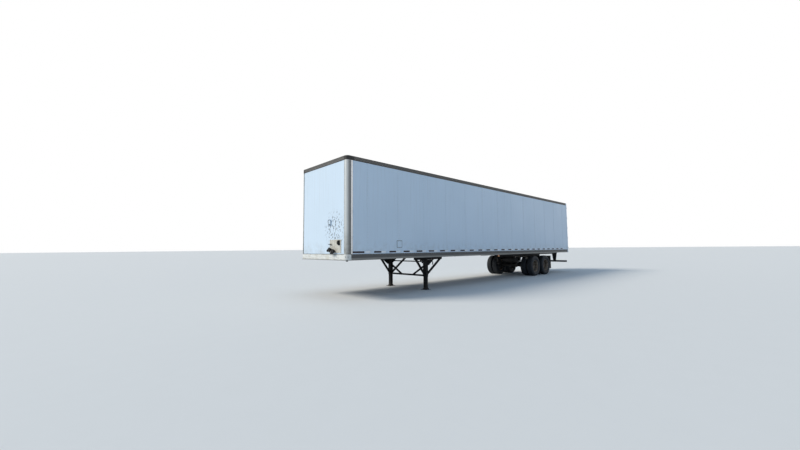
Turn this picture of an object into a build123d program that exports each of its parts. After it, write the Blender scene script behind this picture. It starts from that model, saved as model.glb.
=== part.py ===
from build123d import *
import math
import os

os.makedirs("parts", exist_ok=True)

# A long van semi trailer with smooth plate walls, parked on its landing gear.
# Millimetres. +X points to the nose, +Y to the left (road) side, +Z up.
# The origin lies on the ground under the middle of the trailer's overall box.

# Box body
body_length = 16154
body_width = 2591
overall_height = 4115
rail_bottom = 1145
front_reach = 92
rear_reach = 76
corner_radius = 110

# Walls of composite plate, with joint strips between the panels
wall_thickness = 8
wall_inset = 6
first_joint = 760
panel_width = 1219.2
strip_width = 76
strip_thickness = 3
logistic_width = 60
logistic_thickness = 5

# Corner posts at the nose
post_side = 160
post_front = 115
post_flange = 38

# Top rails, roof sheet and roof bows
top_rail_height = 123
rail_bead = 14
rail_recess = 3
cap_side = 250
cap_front = 150
top_rail_flange = 60
top_rail_lip = 6
top_rail_lip_height = 24
top_flange_thickness = 5
roof_thickness = 2
bow_pitch = 609.6
bow_height = 30
bow_width = 60
bow_metal = 3

# Bottom rails, crossmembers and floor
rail_height = 167
rail_flange = 90
rail_flange_thickness = 10
rail_web = 6
rail_bulb_height = 45
ledge_width = 45
ledge_thickness = 8
crossmember_height = 97
crossmember_width = 57
crossmember_metal = 4
crossmember_pitch = 304.8
side_lamp_size = (110, 40)
side_lamp_drop = 60
side_lamp_depth = 30
side_lamp_bracket = 4
first_crossmember = 230
floor_thickness = 32
floor_board = 300
floor_groove = 4
front_rail_height = 160
front_rail_depth = 45

# Rear frame, with a doorway between posts, header and sill
door_proud = 8
rear_post_width = 95
rear_post_depth = 110
header_height = 169
sill_depth = 222
lamp_thickness = 12
tail_lamp_size = (140, 56)
tail_lamp_count = 3
lamp_pitch = 160
lamp_inset = 190
marker_size = (60, 26)
marker_pitch = 152
marker_inset = 215
marker_drop = 50
bumper_inward = 60
bumper_outward = 30
bumper_low = 5
bumper_high = 14
bumper_round = 12

# Swing doors
door_thickness = 25
door_gap = 6
door_chamfer = 4
hinge_setback = 34
hinge_inset = 14
hinge_count = 5
hinge_height = 50
hinge_ear = 12
hinge_play = 2
hinge_margin = 120
pin_radius = 7
pin_clearance = 0.3
knuckle_radius = 13
strap_length = 290
strap_thickness = 10
rod_radius = 17
rod_from_edge = 140
rod_standoff = 15
rod_overlap = 60
guide_shares = (0.04, 0.27, 0.53, 0.78, 0.94)
guide_height = 50
guide_side = 8
guide_cover = 6
handle_share = 0.19
handle_length = 440
handle_height = 36
handle_proud = 14
latch_share = 0.75
latch_width = 40
latch_margin = 12
cam_width = 30
cam_height = 40
keeper_clearance = 7
keeper_metal = 12

# Coupler and kingpin
coupler_thickness = 8
coupler_length = 1300
coupler_edge = 12
kingpin_from_nose = 914
kingpin_collar_radius = 36.51
kingpin_collar_height = 35
kingpin_neck_radius = 25.4
kingpin_neck_height = 30
kingpin_flange_radius = 35.7
kingpin_flange_height = 19
kingpin_hole_radius = 40
kingpin_base_radius = 150

# Landing gear
leg_from_nose = 3640
leg_inset = 367.5
leg_tube = 130
leg_wall = 8
leg_bottom = 450
inner_leg_overlap = 150
sliding_fit = 0.3
foot_length = 280
foot_width = 250
foot_thickness = 10
foot_height = 60
pedestal_inset = 20
mount_channel_width = 80
mount_channel_height = 100
mount_overhang = 40
arm_depth = 65
arm_width = 50
arm_foot_z = 485
front_arm_run = 520
rear_arm_run = 840
strut_size = 60
strut_z = 490
diagonal_size = 60
diagonal_foot_y = 250
diagonal_top_z = 860
wing_top_half = 380
wing_bottom_half = 100
wing_height = 200
crank_z = 985
gearbox_half = 60
gearbox_reach = 70
crank_radius = 14
crank_arm = 230

# Running gear
rear_axle_from_tail = 3213
axle_spacing = 1245
tyre_radius = 508
tyre_width = 280
tread_width = 224
shoulder_inset = 6
shoulder_drop = 44
bead_width = 208
bead_radius = 286
flange_radius = 301
flange_lip = 2
dual_inset = 311.5
dual_spacing = 340
bead_fit = 0.3
disc_thickness = 12
disc_root_inset = 45
disc_bend = 6
disc_weld = 1
rim_thickness = 10
drum_radius = 209
drum_width = 178
drum_wall = 18
drum_shoulder = 55
drum_flat_inset = 5
drum_cone_wall = 12
drum_face_wall = 14
hub_radius = 108
hub_length = 140
hub_draft = 8
hub_play = 1
hub_end_wall = 10
cap_radius = 76
cap_length = 34
cap_draft = 10
axle_radius = 63.5
hub_boss = 40
disc_flat = 62
hand_hole_radius = 26
hand_hole_count = 5
hand_hole_reach = 53
hole_sides = 12
wheel_sides = 36
spindle_radius = 45
spindle_inset = 30
shield_radius = 205
shield_thickness = 10
shield_inset = 224

# Sliding frame that carries the axles
slider_y = 520
slider_width = 80
slider_height = 216
slider_metal = 8
slider_ahead = 900
slider_behind = 760
slide_gap = 0.5
body_rail_flange = 8
body_rail_web = 8
body_rail_height = 95
body_rail_length = 6420
body_rail_side_gap = 6
body_rail_inward = 10
lock_hole_radius = 20
lock_hole_pitch = 152.4
cross_channel_width = 80
cross_channel_height = 160
cross_channel_rise = 24
cross_front_inset = 90
cross_rear_inset = 50
cross_axle_gap = 330

# Springs, hangers and rods
spring_half_length = 560
second_leaf_half = 430
third_leaf_half = 250
spring_rise = 50
spring_width = 76
spring_side_gap = 1
leaf_thickness = 14
spring_top_z = 655
hanger_cheek = 8
hanger_bottom_z = 560
hanger_pad_height = 65
hanger_top_half = 130
hanger_bottom_half = 60
middle_hanger_top_half = 200
middle_hanger_bottom_half = 70
equalizer_half = 150
equalizer_height = 60
seat_half = 60
rod_arm_radius = 18
rod_arm_z = 585

# Brakes, air tank and mud flaps
camshaft_radius = 20
camshaft_back = 115
camshaft_rise = 70
chamber_y = 330
chamber_near = 150
chamber_rise = 30
chamber_bracket_half = 30
chamber_bracket_rise = (-40, 100)
chamber_sides = 24
tank_radius = 120
tank_half = 430
tank_dome = 45
tank_drop = 12
saddle_y = 250
saddle_size = (80, 40)
flap_behind = 600
flap_bar = 40
flap_rise = 20
flap_edge = 5
flap_width = 610
flap_thickness = 10
flap_bottom = 300

# Rear guard
guard_inset = 130
guard_tube = 100
guard_bar_bottom = 560
guard_end_inset = 55.5
upright_y = 530
upright_top_half = 140
upright_bottom_half = 70
upright_metal = 8

# Fittings on the front wall
plate_edge = 275.5
plate_width = 580
plate_height = 380
plate_rise = 205
plate_thickness = 10
coupling_radius = 22
coupling_head = 30
coupling_size = (110, 60)
coupling_turn = 60
socket_size = (90, 130)
socket_round = 20
socket_length = 60
document_size = (120, 160)
document_depth = 30
document_edge = 795.5
document_rise = 1020
casting_hole_radius = 22
casting_hole_depth = 30
casting_hole_rise = 90
casting_hole_turns = (24, 66)

# Places worked out from the sizes above
nose_x = (body_length + front_reach + rear_reach) / 2 - front_reach
tail_x = nose_x - body_length
half_width = body_width / 2
roof_underside = overall_height - roof_thickness
top_rail_bottom = roof_underside - top_rail_height
wall_top = roof_underside - top_flange_thickness
crossmember_bottom = rail_bottom + rail_flange_thickness
crossmember_top = crossmember_bottom + crossmember_height
floor_top = crossmember_top + floor_thickness
ledge_top = crossmember_top + ledge_thickness
front_rail_top = rail_bottom + front_rail_height
wall_outer_y = half_width - wall_inset
wall_inner_y = wall_outer_y - wall_thickness
frame_rear_x = tail_x + door_proud
post_front_x = frame_rear_x + rear_post_depth
sill_front_x = frame_rear_x + sill_depth
post_inner_y = half_width - rear_post_width
header_bottom = roof_underside - header_height
pin_x = tail_x - hinge_setback
pin_y = half_width - hinge_inset
recess_y = half_width - rail_recess
recess_z = (top_rail_bottom + rail_bead, roof_underside - rail_bead)
leg_x = nose_x - leg_from_nose
leg_y = half_width - leg_inset
leg_top = crossmember_bottom - mount_channel_height
rear_axle_x = tail_x + rear_axle_from_tail
front_axle_x = rear_axle_x + axle_spacing
axle_z = tyre_radius
dual_centre_y = half_width - dual_inset
axle_tube_end = dual_centre_y - shield_inset
mid_axle_x = (rear_axle_x + front_axle_x) / 2
slider_outer_y = slider_y + slider_width / 2
slider_inner_y = slider_y - slider_width / 2
body_flange_bottom = crossmember_bottom - body_rail_flange
slider_top = body_flange_bottom - slide_gap
slider_bottom = slider_top - slider_height
slider_front_x = front_axle_x + slider_ahead
slider_rear_x = rear_axle_x - slider_behind


def finish(piece, name):
    piece.part.label = name
    export_step(piece.part, f"parts/{name}.step")


# A box between two limits along each axis
def block(x_span, y_span, z_span, mode=Mode.ADD):
    spans = (x_span, y_span, z_span)
    corner = tuple(min(span) for span in spans)
    size = tuple(abs(span[1] - span[0]) for span in spans)
    with Locations(corner):
        Box(*size, align=(Align.MIN, Align.MIN, Align.MIN), mode=mode)


# A bar along X whose closed section is given as (y, z) points
def bar_along_x(section, x_span, mode=Mode.ADD):
    with BuildSketch(Plane.YZ.offset(min(x_span))) as profile:
        with BuildLine():
            Polyline(*section, close=True)
        make_face()
    extrude(profile.sketch, amount=abs(x_span[1] - x_span[0]), mode=mode)


# A bar across Y whose closed section is given as (x, z) points
def bar_along_y(section, y_span, mode=Mode.ADD):
    with BuildSketch(Plane.XZ.offset(-max(y_span))) as profile:
        with BuildLine():
            Polyline(*section, close=True)
        make_face()
    extrude(profile.sketch, amount=abs(y_span[1] - y_span[0]), mode=mode)


# A turned form about Y made of flats, light to mesh, through stations of (y, radius).
# Each radius is measured to the middle of a flat, and one flat faces the ground.
def ring(stations, centre=(0, 0), mode=Mode.ADD):
    turns = [(side + 0.5) * 2 * math.pi / wheel_sides for side in range(wheel_sides)]
    outward = 1 if stations[0][0] < stations[-1][0] else -1
    outlines = []
    for y, radius in stations[::outward]:
        reach = radius / math.cos(math.pi / wheel_sides)
        outline = [
            (centre[0] + reach * math.cos(turn), y, centre[1] + reach * math.sin(turn))
            for turn in turns
        ]
        outlines.append(outline)
    faces = [Face(Wire.make_polygon(outlines[0])), Face(Wire.make_polygon(outlines[-1]))]
    for near, far in zip(outlines, outlines[1:]):
        for side in range(wheel_sides):
            flat = (near[side - 1], near[side], far[side], far[side - 1])
            faces.append(Face(Wire.make_polygon(flat)))
    add(Solid(Shell(faces)), mode=mode)


# The rounded nose seen from above, drawn inside its outer edge by inset
def nose_plan(inset, length):
    with BuildSketch(mode=Mode.PRIVATE) as plan:
        with Locations((nose_x - inset - length / 2, 0)):
            Rectangle(length, body_width - 2 * inset)
        fillet(plan.vertices().group_by(Axis.X)[-1], corner_radius - inset)
    return plan.sketch


# A band that follows the nose from one side to the other
def nose_band(thickness, z_span, length=post_side, mode=Mode.ADD):
    with BuildSketch(Plane.XY.offset(z_span[0])) as band:
        add(nose_plan(0, length))
        add(nose_plan(thickness, length), mode=Mode.SUBTRACT)
    extrude(band.sketch, amount=z_span[1] - z_span[0], mode=mode)


# Walls

with BuildPart() as side_walls:
    wall_span = (post_front_x, nose_x - post_side)
    block(wall_span, (wall_inner_y, wall_outer_y), (ledge_top, wall_top))
    joint_count = int((body_length - first_joint - post_side) // panel_width) + 1
    for joint in range(joint_count):
        joint_x = nose_x - first_joint - joint * panel_width
        outer = (joint_x - strip_width / 2, joint_x + strip_width / 2)
        inner = (joint_x - logistic_width / 2, joint_x + logistic_width / 2)
        strip_z = (rail_bottom + rail_height, top_rail_bottom)
        block(outer, (wall_outer_y, wall_outer_y + strip_thickness), strip_z)
        inner_z = (floor_top, wall_top - bow_height)
        block(inner, (wall_inner_y - logistic_thickness, wall_inner_y), inner_z)
    mirror(about=Plane.XZ)
finish(side_walls, "side_walls")

with BuildPart() as front_wall:
    block(
        (nose_x - wall_inset - wall_thickness, nose_x - wall_inset),
        (post_front - half_width, half_width - post_front),
        (front_rail_top, top_rail_bottom),
    )
finish(front_wall, "front_wall")

# Rounded posts, each with a lower flange that is riveted over the side plate
with BuildPart() as corner_posts:
    post_z = (front_rail_top, top_rail_bottom)
    nose_band(wall_inset + wall_thickness, post_z)
    block(
        (nose_x - post_side, nose_x),
        (post_front - half_width, half_width - post_front),
        post_z,
        mode=Mode.SUBTRACT,
    )
    flange_span = (nose_x - post_side, nose_x - post_side + post_flange)
    for side in (-1, 1):
        flange_y = (side * recess_y, side * half_width)
        block(flange_span, flange_y, post_z, mode=Mode.SUBTRACT)
finish(corner_posts, "corner_posts")

# The front rail, with the blind holes of its corner castings
with BuildPart() as front_bottom_rail:
    nose_band(front_rail_depth, (rail_bottom, front_rail_top))
    for side in (-1, 1):
        for turn in casting_hole_turns:
            outward = (math.cos(math.radians(turn)), side * math.sin(math.radians(turn)), 0)
            hole_mouth = (
                nose_x - corner_radius + corner_radius * outward[0],
                side * (half_width - corner_radius) + corner_radius * outward[1],
                rail_bottom + casting_hole_rise,
            )
            with Locations(Plane(origin=hole_mouth, z_dir=outward)):
                Cylinder(casting_hole_radius, 2 * casting_hole_depth, mode=Mode.SUBTRACT)
finish(front_bottom_rail, "front_bottom_rail")

with BuildPart() as front_top_rail:
    nose_band(top_rail_flange, (top_rail_bottom, roof_underside))
    nose_band(rail_recess, recess_z, mode=Mode.SUBTRACT)
    with BuildSketch(Plane.XY.offset(top_rail_bottom)):
        add(nose_plan(wall_inset, post_side))
        add(nose_plan(top_rail_flange, post_side), mode=Mode.SUBTRACT)
    extrude(amount=top_rail_height - top_flange_thickness, mode=Mode.SUBTRACT)
    block(
        (nose_x - wall_inset - wall_thickness, nose_x - wall_inset),
        (corner_radius - half_width, half_width - corner_radius),
        (top_rail_bottom, wall_top),
    )
finish(front_top_rail, "front_top_rail")

# Top rails: a recess between two beads outside, a groove for the wall plate inside
with BuildPart() as top_rails:
    groove_inner = half_width - wall_inset - wall_thickness
    section = (
        (half_width, top_rail_bottom),
        (half_width, recess_z[0]),
        (recess_y, recess_z[0]),
        (recess_y, recess_z[1]),
        (half_width, recess_z[1]),
        (half_width, roof_underside),
        (half_width - top_rail_flange, roof_underside),
        (half_width - top_rail_flange, wall_top),
        (groove_inner - top_rail_lip, wall_top),
        (groove_inner - top_rail_lip, wall_top - top_rail_lip_height),
        (groove_inner, wall_top - top_rail_lip_height),
        (groove_inner, wall_top),
        (wall_outer_y, wall_top),
        (wall_outer_y, top_rail_bottom),
    )
    bar_along_x(section, (post_front_x, nose_x - post_side))
    mirror(about=Plane.XZ)
finish(top_rails, "top_rails")

# Plates that cap the nose's top corners, laid in the rails' recess
with BuildPart() as corner_caps:
    nose_band(rail_recess, recess_z, cap_side)
    block(
        (nose_x - cap_side, nose_x),
        (cap_front - half_width, half_width - cap_front),
        recess_z,
        mode=Mode.SUBTRACT,
    )
finish(corner_caps, "corner_caps")

with BuildPart() as roof_sheet:
    with BuildSketch(Plane.XY.offset(roof_underside)):
        add(nose_plan(wall_inset, nose_x - wall_inset - frame_rear_x))
    extrude(amount=roof_thickness)
finish(roof_sheet, "roof_sheet")

# Hat shaped bows under the roof sheet, seated below the rails' flanges
with BuildPart() as roof_bows:
    bow_end = groove_inner - top_rail_lip
    bow_count = int((body_length - post_side - sill_depth) // bow_pitch)
    for bow in range(bow_count):
        bow_x = nose_x - post_side - (bow + 0.5) * bow_pitch
        crown = bow_width / 2 - bow_height / 3
        section = (
            (bow_x - crown, wall_top),
            (bow_x + crown, wall_top),
            (bow_x + bow_width / 2, wall_top - bow_height),
            (bow_x + bow_width / 2 - bow_metal, wall_top - bow_height),
            (bow_x + crown - bow_metal, wall_top - bow_metal),
            (bow_x - crown + bow_metal, wall_top - bow_metal),
            (bow_x - bow_width / 2 + bow_metal, wall_top - bow_height),
            (bow_x - bow_width / 2, wall_top - bow_height),
        )
        bar_along_y(section, (-bow_end, bow_end))
finish(roof_bows, "roof_bows")

# Underframe

# Bottom rails: bulb and flange below, a bead, a ledge for wall and floor, and a lip
with BuildPart() as bottom_rails:
    web_inner = recess_y - rail_web
    rail_top = rail_bottom + rail_height
    section = (
        (half_width, rail_bottom),
        (half_width, rail_bottom + rail_bulb_height),
        (recess_y, rail_bottom + rail_bulb_height + rail_recess),
        (recess_y, crossmember_top - rail_recess),
        (half_width, crossmember_top),
        (half_width, ledge_top),
        (recess_y, ledge_top + rail_recess),
        (recess_y, rail_top),
        (wall_outer_y, rail_top),
        (wall_outer_y, ledge_top),
        (half_width - ledge_width, ledge_top),
        (half_width - ledge_width, crossmember_top),
        (web_inner, crossmember_top),
        (web_inner, crossmember_bottom),
        (half_width - rail_flange, crossmember_bottom),
        (half_width - rail_flange, rail_bottom),
    )
    bar_along_x(section, (post_front_x, nose_x - post_side))
    mirror(about=Plane.XZ)
finish(bottom_rails, "bottom_rails")

# Side lamps at mid length, each on a bracket below its rail
with BuildPart() as side_lamps:
    mid_x = nose_x - body_length / 2
    lamp_half = side_lamp_size[0] / 2
    lamp_top = rail_bottom - side_lamp_drop + side_lamp_size[1] / 2
    bracket_y = half_width - side_lamp_depth
    block(
        (mid_x - lamp_half, mid_x + lamp_half),
        (bracket_y - side_lamp_bracket, bracket_y),
        (lamp_top - side_lamp_size[1], rail_bottom),
    )
    with BuildSketch(Plane.XZ.offset(-bracket_y)) as lamp_face:
        with Locations((mid_x, lamp_top - side_lamp_size[1] / 2)):
            SlotOverall(*side_lamp_size)
    extrude(lamp_face.sketch, amount=rail_recess - side_lamp_depth)
    mirror(about=Plane.XZ)
finish(side_lamps, "side_lamps")

with BuildPart() as crossmembers:
    run = body_length - first_crossmember - sill_depth - door_proud - crossmember_width
    for member in range(int(run // crossmember_pitch) + 1):
        member_x = nose_x - first_crossmember - member * crossmember_pitch
        outer = crossmember_width / 2
        web = crossmember_metal / 2
        low = crossmember_bottom + crossmember_metal
        high = crossmember_top - crossmember_metal
        section = (
            (member_x - outer, crossmember_bottom),
            (member_x + outer, crossmember_bottom),
            (member_x + outer, low),
            (member_x + web, low),
            (member_x + web, high),
            (member_x + outer, high),
            (member_x + outer, crossmember_top),
            (member_x - outer, crossmember_top),
            (member_x - outer, high),
            (member_x - web, high),
            (member_x - web, low),
            (member_x - outer, low),
        )
        bar_along_y(section, (-web_inner, web_inner))
finish(crossmembers, "crossmembers")

# Laminated boards laid edge to edge, with a shallow groove at each joint
with BuildPart() as floor:
    floor_edge = half_width - ledge_width
    floor_span = (sill_front_x, nose_x - front_rail_depth)
    with BuildSketch(Plane.XY.offset(crossmember_top)):
        add(nose_plan(front_rail_depth, floor_span[1] - floor_span[0]))
    extrude(amount=floor_thickness)
    board_count = int(2 * floor_edge // floor_board)
    for board in range(1, board_count):
        joint_y = -floor_edge + board * 2 * floor_edge / board_count
        groove_y = (joint_y - floor_groove / 2, joint_y + floor_groove / 2)
        groove_z = (floor_top - floor_groove, floor_top)
        block(floor_span, groove_y, groove_z, mode=Mode.SUBTRACT)
finish(floor, "floor")

with BuildPart() as coupler_plate:
    plate_half = half_width - coupler_edge
    plate_z = (rail_bottom - coupler_thickness, rail_bottom)
    block((nose_x - coupler_length, nose_x - coupler_edge), (-plate_half, plate_half), plate_z)
    with Locations((nose_x - kingpin_from_nose, 0, rail_bottom)):
        Cylinder(
            kingpin_hole_radius,
            coupler_thickness,
            align=(Align.CENTER, Align.CENTER, Align.MAX),
            mode=Mode.SUBTRACT,
        )
finish(coupler_plate, "coupler_plate")

# Kingpin: a base above the plate, then collar, neck and flange below it
with BuildPart() as kingpin:
    collar_bottom = rail_bottom - coupler_thickness - kingpin_collar_height
    neck_bottom = collar_bottom - kingpin_neck_height
    kingpin_x = nose_x - kingpin_from_nose
    flange_bottom = neck_bottom - kingpin_flange_height
    outline = (
        (0, flange_bottom),
        (kingpin_flange_radius, flange_bottom),
        (kingpin_flange_radius, neck_bottom),
        (kingpin_neck_radius, neck_bottom),
        (kingpin_neck_radius, collar_bottom),
        (kingpin_collar_radius, collar_bottom),
        (kingpin_collar_radius, rail_bottom - coupler_thickness),
        (kingpin_hole_radius, rail_bottom - coupler_thickness),
        (kingpin_hole_radius, rail_bottom),
        (kingpin_base_radius, rail_bottom),
        (kingpin_base_radius, crossmember_bottom),
        (0, crossmember_bottom),
    )
    with BuildSketch(Plane.XZ):
        with BuildLine():
            Polyline(*((kingpin_x + r, z) for r, z in outline), close=True)
        make_face()
    revolve(axis=Axis((kingpin_x, 0, 0), (0, 0, 1)))
finish(kingpin, "kingpin")

# Rear frame

with BuildPart() as rear_posts:
    block(
        (frame_rear_x, post_front_x),
        (post_inner_y, half_width),
        (rail_bottom, roof_underside),
    )
    hinge_low = floor_top + door_gap + hinge_margin
    hinge_high = header_bottom - door_gap - hinge_margin
    hinge_step = (hinge_high - hinge_low) / (hinge_count - 1)
    ear_reach = hinge_setback + door_proud
    for hinge in range(hinge_count):
        hinge_z = hinge_low + hinge * hinge_step
        ear_half = hinge_height / 2 + hinge_play
        for ear_z in (hinge_z - ear_half - hinge_ear, hinge_z + ear_half):
            block(
                (pin_x, frame_rear_x),
                (pin_y - 3 * knuckle_radius, pin_y + knuckle_radius),
                (ear_z, ear_z + hinge_ear),
            )
            with Locations((pin_x, pin_y, ear_z)):
                Cylinder(
                    knuckle_radius,
                    hinge_ear,
                    align=(Align.CENTER, Align.CENTER, Align.MIN),
                )
        with Locations((pin_x, pin_y, hinge_z)):
            Cylinder(pin_radius, 2 * ear_half + hinge_ear)
    mirror(about=Plane.XZ)
finish(rear_posts, "rear_posts")


# Two prongs that hold a lock rod's cam between them, open to the rear
def keeper(rod_y, z_span):
    slot = cam_width / 2 + keeper_clearance
    depth = (frame_rear_x - 2 * rod_standoff - keeper_metal, frame_rear_x)
    for side in (-1, 1):
        prong = (rod_y + side * slot, rod_y + side * (slot + keeper_metal))
        block(depth, prong, z_span)


rod_y = door_gap + rod_from_edge
rod_x = tail_x - rod_standoff - rod_radius
top_cam_z = header_bottom + rod_overlap - cam_height
bottom_cam_z = floor_top - rod_overlap

with BuildPart() as rear_header:
    block(
        (frame_rear_x, post_front_x),
        (-post_inner_y, post_inner_y),
        (header_bottom, roof_underside),
    )
    for side in (-1, 1):
        keeper(side * rod_y, (top_cam_z, top_cam_z + cam_height))
finish(rear_header, "rear_header")

with BuildPart() as rear_sill:
    block(
        (frame_rear_x, sill_front_x),
        (-post_inner_y, post_inner_y),
        (rail_bottom, floor_top),
    )
    for side in (-1, 1):
        keeper(side * rod_y, (bottom_cam_z, bottom_cam_z + cam_height))
finish(rear_sill, "rear_sill")

with BuildPart() as dock_bumpers:
    for side in (-1, 1):
        block(
            (tail_x - rear_reach, frame_rear_x),
            (side * (post_inner_y - bumper_inward), side * (post_inner_y + bumper_outward)),
            (rail_bottom + bumper_low, floor_top - bumper_high),
        )
    fillet(dock_bumpers.edges().filter_by(Axis.Z).group_by(Axis.X)[0], bumper_round)
finish(dock_bumpers, "dock_bumpers")

# Guard across the rear, hung on two tapered uprights
with BuildPart() as rear_guard:
    guard_x = (tail_x + guard_inset, tail_x + guard_inset + guard_tube)
    bar_top = guard_bar_bottom + guard_tube
    guard_end = half_width - guard_end_inset
    block(guard_x, (-guard_end, guard_end), (guard_bar_bottom, bar_top))
    for side in (-1, 1):
        section = (
            (side * upright_y - upright_bottom_half, bar_top),
            (side * upright_y + upright_bottom_half, bar_top),
            (side * upright_y + upright_top_half, rail_bottom),
            (side * upright_y - upright_top_half, rail_bottom),
        )
        bar_along_x(section, guard_x)
        hollow_bottom = upright_bottom_half - upright_metal
        hollow_top = upright_top_half - upright_metal
        hollow = (
            (side * upright_y - hollow_bottom, bar_top + upright_metal),
            (side * upright_y + hollow_bottom, bar_top + upright_metal),
            (side * upright_y + hollow_top, rail_bottom),
            (side * upright_y - hollow_top, rail_bottom),
        )
        hollow_x = (guard_x[0] + upright_metal, guard_x[1])
        bar_along_x(hollow, hollow_x, mode=Mode.SUBTRACT)
finish(rear_guard, "rear_guard")

with BuildPart() as tail_lamps:
    lamp_z = (rail_bottom + floor_top) / 2
    for lamp in range(tail_lamp_count):
        lamp_y = post_inner_y - lamp_inset - lamp * lamp_pitch
        with BuildSketch(Plane.YZ.offset(frame_rear_x)):
            with Locations((-lamp_y, lamp_z), (lamp_y, lamp_z)):
                SlotOverall(*tail_lamp_size)
        extrude(amount=-lamp_thickness)
finish(tail_lamps, "tail_lamps")

with BuildPart() as marker_lamps:
    marker_edge = half_width - marker_inset
    for lamp_y in (-marker_edge, -marker_pitch, 0, marker_pitch, marker_edge):
        with BuildSketch(Plane.YZ.offset(frame_rear_x)):
            with Locations((lamp_y, roof_underside - marker_drop)):
                SlotOverall(*marker_size)
        extrude(amount=-lamp_thickness)
finish(marker_lamps, "marker_lamps")

# Doors

door_z = (floor_top + door_gap, header_bottom - door_gap)
door_outer_y = post_inner_y - door_gap
for side_name, side in (("left", 1), ("right", -1)):
    with BuildPart() as door:
        block((tail_x, tail_x + door_thickness), (side * door_gap, side * door_outer_y), door_z)
        chamfer(door.edges().filter_by(Axis.Z).group_by(Axis.X)[0], door_chamfer)
    finish(door, f"{side_name}_door")

    with BuildPart() as hinges:
        for hinge in range(hinge_count):
            hinge_z = hinge_low + hinge * hinge_step
            strap_z = (hinge_z - hinge_height / 2, hinge_z + hinge_height / 2)
            strap_end = pin_y - strap_length
            block(
                (tail_x - strap_thickness, tail_x),
                (side * strap_end, side * (pin_y + knuckle_radius)),
                strap_z,
            )
            block(
                (pin_x, tail_x - strap_thickness),
                (side * (pin_y - knuckle_radius), side * (pin_y + knuckle_radius)),
                strap_z,
            )
            with Locations((pin_x, side * pin_y, hinge_z)):
                Cylinder(knuckle_radius, hinge_height)
                Hole(pin_radius + pin_clearance)
    finish(hinges, f"{side_name}_door_hinges")

    with BuildPart() as lock:
        rod_z = (bottom_cam_z, top_cam_z + cam_height)
        with Locations((rod_x, side * rod_y, rod_z[0])):
            Cylinder(
                rod_radius,
                rod_z[1] - rod_z[0],
                align=(Align.CENTER, Align.CENTER, Align.MIN),
            )
        for cam_z in (bottom_cam_z, top_cam_z):
            block(
                (rod_x - rod_radius, frame_rear_x - door_gap),
                (side * (rod_y - cam_width / 2), side * (rod_y + cam_width / 2)),
                (cam_z, cam_z + cam_height),
            )
        rod_length = rod_z[1] - rod_z[0]
        guide_half = rod_radius + guide_side
        for share in guide_shares:
            guide_z = rod_z[0] + share * rod_length
            block(
                (rod_x - rod_radius - guide_cover, tail_x),
                (side * (rod_y - guide_half), side * (rod_y + guide_half)),
                (guide_z, guide_z + guide_height),
            )
        handle_z = rod_z[0] + handle_share * rod_length
        handle_back = rod_x - rod_radius + guide_cover
        handle_start = rod_y - rod_radius
        block(
            (handle_back - guide_cover - handle_proud, handle_back),
            (side * handle_start, side * (handle_start + handle_length)),
            (handle_z, handle_z + handle_height),
        )
        latch_y = handle_start + latch_share * handle_length
        block(
            (handle_back, tail_x),
            (side * latch_y, side * (latch_y + latch_width)),
            (handle_z - latch_margin, handle_z + handle_height + latch_margin),
        )
    finish(lock, f"{side_name}_door_lock")

# Landing gear

with BuildPart() as landing_legs:
    half_tube = leg_tube / 2
    block(
        (leg_x - half_tube, leg_x + half_tube),
        (leg_y - half_tube, leg_y + half_tube),
        (leg_bottom, leg_top),
    )
    bore = half_tube - leg_wall
    block(
        (leg_x - bore, leg_x + bore),
        (leg_y - bore, leg_y + bore),
        (leg_bottom, leg_top - leg_wall),
        mode=Mode.SUBTRACT,
    )
    channel = mount_channel_width / 2
    block(
        (leg_x - rear_arm_run - mount_overhang, leg_x + front_arm_run + mount_overhang),
        (leg_y - channel, leg_y + channel),
        (leg_top, crossmember_bottom),
    )
    wing_section = (
        (leg_x - wing_top_half, leg_top),
        (leg_x + wing_top_half, leg_top),
        (leg_x + wing_bottom_half, leg_top - wing_height),
        (leg_x - wing_bottom_half, leg_top - wing_height),
    )
    wing_y = leg_y + half_tube
    bar_along_y(wing_section, (wing_y, wing_y + leg_wall))
    mirror(about=Plane.XZ)
finish(landing_legs, "landing_legs")

with BuildPart() as landing_feet:
    inner_half = bore - sliding_fit
    block(
        (leg_x - inner_half, leg_x + inner_half),
        (leg_y - inner_half, leg_y + inner_half),
        (foot_height, leg_bottom + inner_leg_overlap),
    )
    block(
        (leg_x - foot_length / 2, leg_x + foot_length / 2),
        (leg_y - foot_width / 2, leg_y + foot_width / 2),
        (0, foot_thickness),
    )
    pedestal = (
        (leg_x - foot_length / 2 + pedestal_inset, foot_thickness),
        (leg_x + foot_length / 2 - pedestal_inset, foot_thickness),
        (leg_x + inner_half, foot_height),
        (leg_x - inner_half, foot_height),
    )
    bar_along_y(pedestal, (leg_y - inner_half, leg_y + inner_half))
    mirror(about=Plane.XZ)
finish(landing_feet, "landing_feet")

# Fore and aft braces from the foot of each outer tube to the mount channel
with BuildPart() as landing_arms:
    for run, face in ((front_arm_run, half_tube), (-rear_arm_run, -half_tube)):
        foot_x = leg_x + face
        top_x = leg_x + run
        slope = (leg_top - arm_foot_z) / (top_x - foot_x)
        along = arm_depth * math.hypot(1, slope) / abs(slope)
        shift = math.copysign(along, run)
        section = (
            (foot_x, arm_foot_z),
            (top_x, leg_top),
            (top_x - shift, leg_top),
            (foot_x, arm_foot_z + along * abs(slope)),
        )
        bar_along_y(section, (leg_y - arm_width / 2, leg_y + arm_width / 2))
    mirror(about=Plane.XZ)
finish(landing_arms, "landing_arms")

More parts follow.
